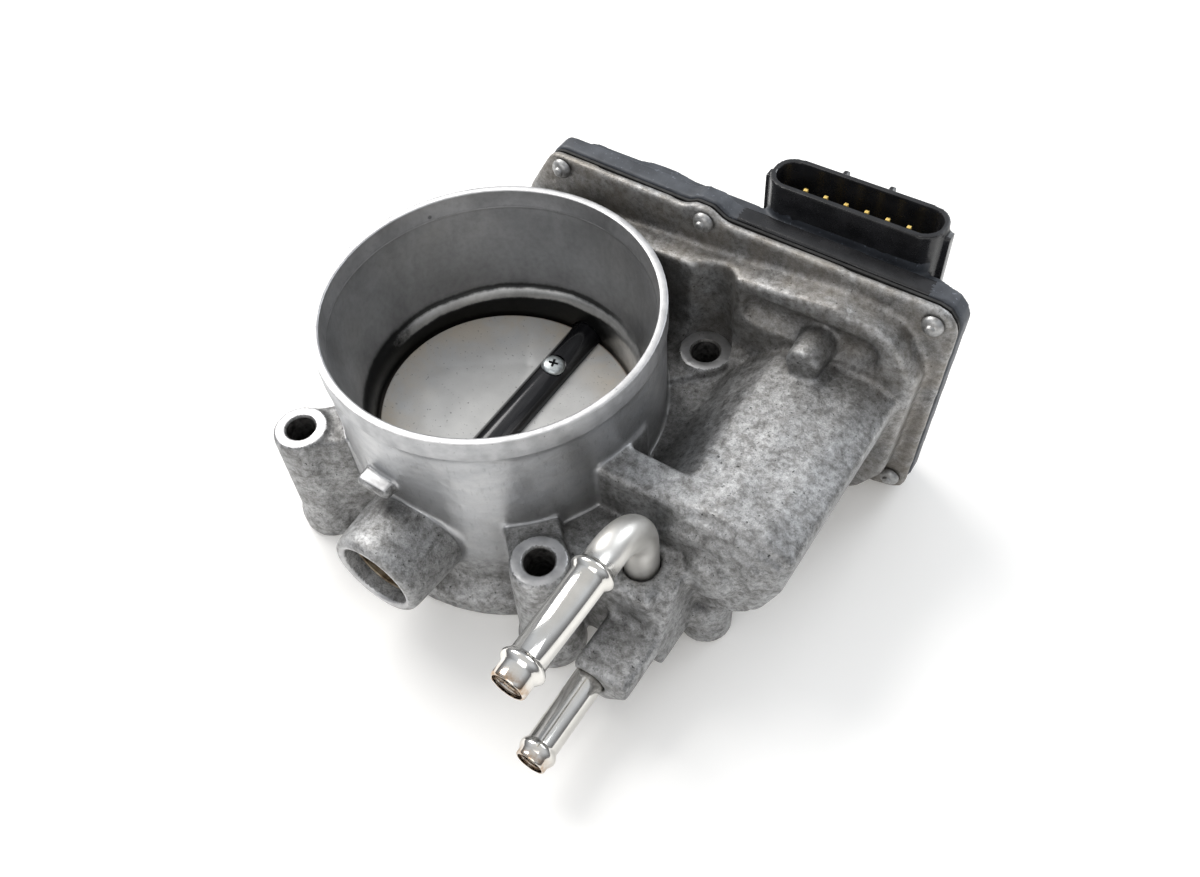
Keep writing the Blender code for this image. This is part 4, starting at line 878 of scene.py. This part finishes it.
# %% Shaft
def shaft_finish():
    mat = finish_named("black_shaft", (0.012, 0.012, 0.014), 0.16, 0.6, Coat_Weight=0.5, Coat_Roughness=0.12)
    where = places(mat, stretch=(1, 0.12, 1))
    rubbed = noise(mat, 1.2, 6, where, 0.6)
    rub = ramp(mat, rubbed, [(0.4, (0.010, 0.010, 0.012)), (0.75, (0.035, 0.035, 0.038))])
    rough = ramp(mat, noise(mat, 2.0, 5, where), [(0.3, 0.24), (0.7, 0.12)])
    return coat(mat, rub, rough, bump(mat, noise(mat, 0.5, 3, where), 0.02, 0.35))


SHAFT_R = 4.5
shaft_start = (shaft_low.y - BORE.y) / MM
shaft_end = (shaft_high.y - BORE.y) / MM
shaft = lathe(
    "ground_shaft",
    [
        (3.0, shaft_start), (4.2, shaft_start + 0.1), (SHAFT_R, shaft_start + 0.6),
        (SHAFT_R, shaft_end - 2.7),
        (4.4, shaft_end - 2.6), (3.0, shaft_end - 2.6), (3.0, shaft_end - 0.3), (2.7, shaft_end),
    ],
    shaft_spot,
    "Y",
    96,
)
SLOT_HALF = PLATE_T / 2 + 0.3
SLOT_R = PLATE_R + 0.3
slot_profile = [(SLOT_R, -SLOT_HALF), (SLOT_R, SLOT_HALF)]
slot_disc = lathe("plate_slot_tool", slot_profile, spot(0, 0, SHAFT_Z), steps=96)
cut(shaft, lean(slot_disc))
for side in (-1, 1):
    middle = shaft_spot + Vector((0, side * SCREW_Y * MM, 0))
    seat = lathe("screw_seat_tool", [(1.75, -8), (1.75, 3.3), (3.35, 3.3), (3.35, 8)], middle, steps=48)
    cut(shaft, lean(seat))
wear(shaft, shaft_finish())
shade(shaft, 30)
stand_for(shaft, "throttle_shaft")
print("shaft:", len(shaft.data.polygons), "faces")

# %% [markdown]
# ## Plate screws
# Zinc-plated pan heads with a cross recess. The recess is cut by two tapered blades, and its walls
# and floor are painted near-black as painted shade.

# %% Plate screws
def plated_finish(name, light, dark, rough=0.25):
    mat = finish_named(name, light, rough, 1.0)
    colour = ramp(mat, noise(mat, 0.9, 5), [(0.32, dark), (0.6, light)])
    roughness = ramp(mat, noise(mat, 0.7, 4), [(0.3, rough + 0.14), (0.7, rough)])
    return coat(mat, colour, roughness, bump(mat, noise(mat, 0.3, 3), 0.015, 0.5))


ZINC = plated_finish("zinc_plate", (0.66, 0.70, 0.70), (0.40, 0.43, 0.44), 0.32)
# The recess's walls and floor take a near-black finish: painted shade in the recess.
RECESS = soft_tone("recess_painted_shade", (0.02, 0.02, 0.02), (0.06, 0.06, 0.06), 0.6, 0.4, 0.8)


def blade(name, middle, turn):
    """One tapered blade of the tool that presses the cross."""
    bpy.ops.object.select_all(action="DESELECT")
    bpy.ops.mesh.primitive_cube_add(size=1, location=(0, 0, 0))
    obj = bpy.context.object
    obj.name = name
    obj.scale = (3.7 * MM, 0.78 * MM, 2.4 * MM)
    settle(obj)
    bpy.ops.object.mode_set(mode="EDIT")
    bpy.ops.mesh.select_all(action="DESELECT")
    bpy.ops.object.mode_set(mode="OBJECT")
    for vertex in obj.data.vertices:
        vertex.select = vertex.co.z < 0
    bpy.ops.object.mode_set(mode="EDIT")
    bpy.ops.transform.resize(value=(0.45, 0.7, 1), center_override=(0, 0, 0))
    bpy.ops.object.mode_set(mode="OBJECT")
    obj.data.transform(Matrix.Translation(middle) @ Matrix.Rotation(turn, 4, "Z"))
    return obj


CROSS_TURN = math.radians(18)
HEAD_X = SHAFT_X + 5.0 * math.sin(PLATE_TILT)
RECESS_R, HEAD_FOOT_Z, RECESS_FLOOR_Z = 2.3, SHAFT_Z + 3.9, SHAFT_Z + 4.6


def in_recess(at, normal, screw_y):
    close = math.hypot(at.x - HEAD_X, at.y - screw_y) < RECESS_R
    return close and at.z > HEAD_FOOT_Z and (normal.z < 0.6 or at.z < RECESS_FLOOR_Z)


for number, side in enumerate((-1, 1), 1):
    middle = shaft_spot + Vector((0, side * SCREW_Y * MM, 0))
    screw = lathe(
        f"cross_head_screw_{number}",
        [
            (0.9, -4.8), (1.2, -4.7), (1.45, -4.4), (1.45, 3.62), (2.95, 3.62), (3.05, 3.75), (3.05, 4.05),
            (2.98, 4.3), (2.8, 4.6), (2.5, 4.86), (2.0, 5.06), (1.2, 5.18), (0.3, 5.2),
        ],
        middle,
        steps=64,
    )
    for turn in (0, math.pi / 2):
        cut(screw, blade("cross_blade", middle + Vector((0, 0, 5.35 * MM)), turn + CROSS_TURN))
    lean(screw)
    wear(screw, ZINC, RECESS)
    finish_faces(screw, 1, lambda at, normal: in_recess(at, normal, side * SCREW_Y))
    shade(screw, 30)
    stand_for(screw, f"plate_screw_{number}")
print("two plate screws")

# %% [markdown]
# ## Coolant pipes
# Both pipes are drawn steel tube with nickel plating. The upper one is turned first: beads, a
# straight run and a mouth. Its inner end is then spun through a quarter turn and pushed down into
# the casting. A wall is given to the finished skin. The bend is frosted where it was
# stretched, the straight run is polished, and coolant has browned the mouth.

# %% Pipe finish
def pipe_finish(name, frosted_from):
    mat = finish_named(name, (0.8, 0.78, 0.74), 0.16, 1.0)
    where = places(mat, CENTRE)
    parts = node(mat, "SeparateXYZ")
    join(mat, where, parts.inputs[0])
    lines = noise(mat, 0.35, 3, places(mat, CENTRE, (1, 0.03, 1)), 0.6)
    tone = ramp(mat, noise(mat, 6.0, 3, where), [(0.3, (0.70, 0.68, 0.64)), (0.65, (0.80, 0.785, 0.75))])
    brown = between(mat, parts.outputs[1], -0.0645, -0.0678)
    patch = ramp(mat, noise(mat, 1.6, 5, where), [(0.38, 0.2), (0.6, 0.9)])
    colour = blend(mat, maths(mat, "MULTIPLY", brown, patch), tone, (0.42, 0.27, 0.15))
    # Ambient occlusion darkens the colour in the pipe's corners and hollows: painted shade.
    painted_corner_shade = ramp(mat, crevices(mat, 2.5), [(0.3, 0.25), (0.8, 1.0)])
    colour = blend(mat, 0.85, colour, painted_corner_shade, "MULTIPLY")
    frost = between(mat, parts.outputs[1], frosted_from - 0.0035, frosted_from + 0.0035)
    polished = ramp(mat, noise(mat, 2.0, 5, where), [(0.35, 0.15), (0.65, 0.09)])
    rough = blend(mat, frost, polished, (0.42, 0.42, 0.42))
    mark = bump(mat, lines, 0.012, 0.4)
    return coat(mat, colour, rough, bump(mat, noise(mat, 0.5, 3, where), 0.006, 0.3, mark))


PIPE_X, UPPER_Z, LOWER_Z, MOUTH_Y = 53.3, 52.3, 14.6, -67.6
UPPER_R, LOWER_R, PIPE_WALL = 4.0, 3.7, 0.9
ELBOW_Y, BEND_R = -22.3, 12.0


def bead(middle, tall, half=1.7, steps=7):
    """Points over one rolled bead: (distance above the pipe, place along it)."""
    return [
        (tall * math.sin(math.pi * k / steps) ** 1.3, middle + half * (2 * k / steps - 1))
        for k in range(steps + 1)
    ]


def pipe_skin(name, radius, beads, inner_end, height):
    """The outside of a straight pipe along Y from its mouth to its inner end, open at both ends."""
    profile = [(radius - 0.55, MOUTH_Y + 0.02), (radius - 0.3, MOUTH_Y), (radius - 0.08, MOUTH_Y + 0.2),
               (radius, MOUTH_Y + 0.6)]
    for middle, tall in beads:
        profile += [(radius + lift, along) for lift, along in bead(middle, tall)]
    profile.append((radius, inner_end))
    bpy.ops.object.select_all(action="DESELECT")
    bpy.ops.mesh.primitive_circle_add(vertices=64, radius=profile[0][0] * MM, location=(0, 0, 0))
    obj = bpy.context.object
    obj.name = name
    bpy.ops.object.mode_set(mode="EDIT")
    bpy.ops.mesh.select_all(action="SELECT")
    bpy.ops.transform.translate(value=(0, 0, profile[0][1] * MM))
    for (r, h), (next_r, next_h) in zip(profile, profile[1:]):
        bpy.ops.mesh.extrude_region_move(TRANSFORM_OT_translate={"value": (0, 0, (next_h - h) * MM)})
        bpy.ops.transform.resize(value=(next_r / r, next_r / r, 1), center_override=(0, 0, 0))
    bpy.ops.object.mode_set(mode="OBJECT")
    obj.rotation_euler = ALONG["Y"]
    obj.location = spot(PIPE_X, 0, height)
    return settle(obj)


def pipe_wall(obj, thick):
    facing_out(obj)
    wall = obj.modifiers.new("wall", "SOLIDIFY")
    wall.thickness = thick * MM
    wall.offset = -1
    apply_all(obj)
    return shade(obj, 40)


elbow = pipe_skin("elbow_pipe", UPPER_R, [(-62.6, 1.05), (-39.4, 1.05)], ELBOW_Y - BEND_R, UPPER_Z)
only(elbow)
for vertex in elbow.data.vertices:
    vertex.select = vertex.co.y > spot(0, ELBOW_Y - BEND_R - 0.01, 0).y
bpy.ops.object.mode_set(mode="EDIT")
bpy.ops.mesh.spin(
    steps=20,
    angle=math.pi / 2,
    center=spot(PIPE_X, ELBOW_Y - BEND_R, UPPER_Z - BEND_R),
    axis=(1, 0, 0),
)
bpy.ops.mesh.extrude_region_move(TRANSFORM_OT_translate={"value": (0, 0, -12.5 * MM)})
bpy.ops.object.mode_set(mode="OBJECT")
pipe_wall(elbow, PIPE_WALL)
wear(elbow, pipe_finish("elbow_nickel", -0.037))
stand_for(elbow, "coolant_elbow_pipe")
print("elbow:", len(elbow.data.polygons), "faces")

straight = pipe_skin("straight_pipe", LOWER_R, [(-64.6, 0.75)], -37.2, LOWER_Z)
pipe_wall(straight, PIPE_WALL)
wear(straight, pipe_finish("straight_nickel", 0.0))
stand_for(straight, "coolant_straight_pipe")

# %% [markdown]
# ## Rivets
# Six aluminium rivets hold the cover on. Each has a low satin dome with the stub of its mandrel
# standing in the middle, on the housing's side.

# %% Rivets
RIVET = plated_finish("rivet_aluminium_skin", (0.46, 0.46, 0.455), (0.28, 0.275, 0.27), 0.4)
for number in range(1, 7):
    name = f"cover_rivet_{number}"
    rivet_low, rivet_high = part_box(name)
    middle = to_drawing((rivet_low + rivet_high) / 2)
    head, tail = to_drawing(rivet_low).y, to_drawing(rivet_high).y
    rivet = lathe(
        f"dome_rivet_{number}",
        [
            (0.55, head), (0.95, head + 0.12), (1.12, head + 0.4), (1.2, head + 0.75), (1.45, head + 0.85),
            (1.85, head + 1.0), (2.2, head + 1.25), (2.45, head + 1.6), (2.58, head + 2.0), (2.6, head + 2.3),
            (1.4, head + 2.3), (1.4, tail),
        ],
        spot(middle.x, 0, middle.z),
        "Y",
        48,
    )
    wear(rivet, RIVET)
    shade(rivet, 40)
    stand_for(rivet, name)
print("six rivets")

# %% [markdown]
# ## Gear cover and socket
# One moulding in glass-filled plastic: matte, dark and slightly blue on the flat, where dust sits in
# the grain, and glossy where the socket's mould was polished. A rounded copy of the CAD cover takes
# two finishes, chosen by place.

# %% Cover
def cover_finish():
    mat = finish_named("cover_plastic", (0.045, 0.05, 0.06), 0.5, 0.0)
    dust = ramp(mat, noise(mat, 7.0, 7), [(0.35, (0.032, 0.036, 0.044)), (0.65, (0.068, 0.075, 0.088))])
    flecks = ramp(mat, noise(mat, 0.8, 3), [(0.64, 1.0), (0.70, 2.6)])
    colour = blend(mat, 1.0, dust, flecks, "MULTIPLY")
    rough = ramp(mat, noise(mat, 3.0, 5), [(0.3, 0.62), (0.7, 0.45)])
    return coat(mat, colour, rough, bump(mat, noise(mat, 0.35, 4), 0.05, 0.7))


def socket_finish():
    mat = finish_named("socket_plastic", (0.01, 0.01, 0.011), 0.2, 0.0)
    tone = ramp(mat, noise(mat, 5.0, 6), [(0.35, (0.008, 0.008, 0.009)), (0.7, (0.020, 0.020, 0.022))])
    rough = ramp(mat, noise(mat, 4.0, 5), [(0.3, 0.34), (0.7, 0.18)])
    return coat(mat, tone, rough, bump(mat, noise(mat, 0.6, 3), 0.02, 0.5))


cover = cast_copy("gear_cover", "moulded_cover", 0.42, 3, 150000)
wear(cover, cover_finish(), socket_finish())
finish_faces(cover, 1, lambda at, normal: 35 < at.x < 82 and at.z > 44 and (at.y > 59.7 or at.z > 66.5))
shade(cover, 40)
stand_for(cover, "gear_cover")

# %% [markdown]
# ## Plug at the end of the shaft boss
# A thin steel cup is pressed in where the shaft was assembled. Oil has turned it brown.

# %% Plug
def plug_finish():
    mat = finish_named("oily_plug", (0.2, 0.17, 0.13), 0.45, 0.7)
    oil = noise(mat, 3.0, 7, lean=0.6)
    browns = [(0.35, (0.07, 0.05, 0.035)), (0.5, (0.22, 0.17, 0.11)), (0.68, (0.38, 0.33, 0.26))]
    tone = ramp(mat, oil, browns)
    rough = ramp(mat, noise(mat, 2.0), [(0.3, 0.6), (0.7, 0.3)])
    return coat(mat, tone, rough, bump(mat, noise(mat, 1.0, 5), 0.15, 0.6))


plug = lathe(
    "pressed_plug",
    [
        (0.6, -46.95), (7.8, -46.95), (8.35, -47.1), (8.6, -47.5), (8.6, -50.4), (8.4, -50.6), (8.1, -50.6),
        (7.9, -50.4), (7.9, -48.3), (7.6, -47.9), (7.2, -47.8), (0.6, -47.8),
    ],
    shaft_spot,
    "Y",
    72,
)
wear(plug, plug_finish())
shade(plug, 35)
stand_for(plug, "shaft_end_plug")
print("plug in place")

# %% [markdown]
# ## Small visible pieces
# The gasket is a thin black rubber line between casting and cover. The six terminals are gold
# plated, and stand a little taller than the CAD ones so that their tips catch the light. The stop
# screw on the left of the gear case is zinc plated, with a slot for its adjuster.

# %% Rubber, gold and the stop screw
def refinish(mat, *names):
    """CAD nodes that keep their shape and only take a better finish."""
    for name in names:
        wear(frame["nodes"][name], mat)


def rubber_finish():
    mat = finish_named("black_gasket_rubber", (0.012, 0.012, 0.012), 0.7)
    tone = ramp(mat, noise(mat, 3.0, 5), [(0.3, (0.008, 0.008, 0.008)), (0.7, (0.022, 0.021, 0.020))])
    rough = ramp(mat, noise(mat, 1.5), [(0.3, 0.8), (0.7, 0.6)])
    return coat(mat, tone, rough, bump(mat, noise(mat, 0.4), 0.05, 0.6))


RUBBER = rubber_finish()
refinish(RUBBER, "cover_gasket", "front_shaft_seal", "rear_shaft_seal")
GOLD = plated_finish("gold_plate", (0.98, 0.72, 0.22), (0.80, 0.54, 0.14), 0.3)
shader_of(GOLD).inputs["Metallic"].default_value = 0.35
PIN_RISE = Vector((0, 0, 1.2 * MM))
for number in range(1, 7):
    name = f"terminal_pin_{number}"
    pin_low, pin_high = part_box(name)
    pin_high = pin_high + PIN_RISE
    bpy.ops.object.select_all(action="DESELECT")
    bpy.ops.mesh.primitive_cube_add(size=1, location=(pin_low + pin_high) / 2)
    pin = bpy.context.object
    pin.name = f"gold_terminal_{number}"
    pin.scale = pin_high - pin_low
    settle(pin)
    soften(pin, 0.16, 3)
    facing_out(pin)
    wear(pin, GOLD)
    shade(pin, 35)
    stand_for(pin, name)

STEEL = plated_finish("ground_steel", (0.62, 0.62, 0.63), (0.40, 0.39, 0.38), 0.28)
stop_low, stop_high = (to_drawing(v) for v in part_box("full_close_stop_screw"))
stop_middle = (stop_low + stop_high) / 2
profile = [(1.0, stop_low.x), (1.5, stop_low.x + 0.1), (1.75, stop_low.x + 0.35)]
THREAD_PITCH = 0.7
for turn in range(int((stop_high.x - stop_low.x - 2.0) / THREAD_PITCH)):
    along = stop_low.x + 0.6 + turn * THREAD_PITCH
    profile += [(1.8, along), (1.8, along + 0.12), (1.5, along + 0.35), (1.5, along + 0.45)]
profile += [(1.6, stop_high.x - 0.9), (1.2, stop_high.x - 0.1), (0.8, stop_high.x)]
stop_screw = lathe("threaded_stop_screw", profile, spot(0, stop_middle.y, stop_middle.z), "X", 40)
slot_low = spot(stop_low.x - 1, stop_middle.y - 0.3, stop_middle.z - 3)
slot_high = spot(stop_low.x + 0.8, stop_middle.y + 0.3, stop_middle.z + 3)
cut(stop_screw, block("driver_slot", slot_low, slot_high))
wear(stop_screw, ZINC)
shade(stop_screw, 30)
stand_for(stop_screw, "full_close_stop_screw")
print("gasket, pins and stop screw done")

# %% [markdown]
# ## Hidden works
# Gears, bearings and the motor only show when the cover or the casting is taken away, but they get
# real finishes too: nylon with faint flow marks, ground steel, wound copper, dull ferrite.

# %% Hidden works
NYLON = soft_tone("gear_nylon_skin", (0.70, 0.66, 0.56), (0.84, 0.80, 0.71), 0.45)
FERRITE = soft_tone("sintered_ferrite", (0.04, 0.04, 0.045), (0.09, 0.09, 0.095), 0.6, 0.2)
COPPER = soft_tone("wound_copper", (0.50, 0.22, 0.11), (0.80, 0.42, 0.24), 0.3, 1.0, 1.0)
CARBON = soft_tone("pressed_carbon", (0.02, 0.02, 0.02), (0.06, 0.06, 0.06), 0.7)
WIRE = soft_tone("spring_wire_skin", (0.20, 0.20, 0.21), (0.38, 0.38, 0.39), 0.3, 1.0)
SENSOR = cover.data.materials[0]
for mat, names in (
    (NYLON, ("throttle_gear", "idler_gear", "brush_card")),
    (FERRITE, ("sensor_magnet", "motor_magnet_1", "motor_magnet_2")),
    (COPPER, ("commutator", "motor_terminal_1", "motor_terminal_2")),
    (CARBON, ("motor_brush_1", "motor_brush_2")),
    (WIRE, ("return_spring", "wave_washer")),
    (SENSOR, ("position_sensor",)),
    (ZINC, ("motor_screw_1", "motor_screw_2")),
    (
        STEEL,
        (
            "front_bearing", "rear_bearing_outer", "rear_bearing_inner", "idler_pin", "motor_can",
            "motor_end_plate", "motor_shaft", "motor_armature", "motor_pinion",
        ),
    ),
):
    refinish(mat, *names)
print("hidden works finished")
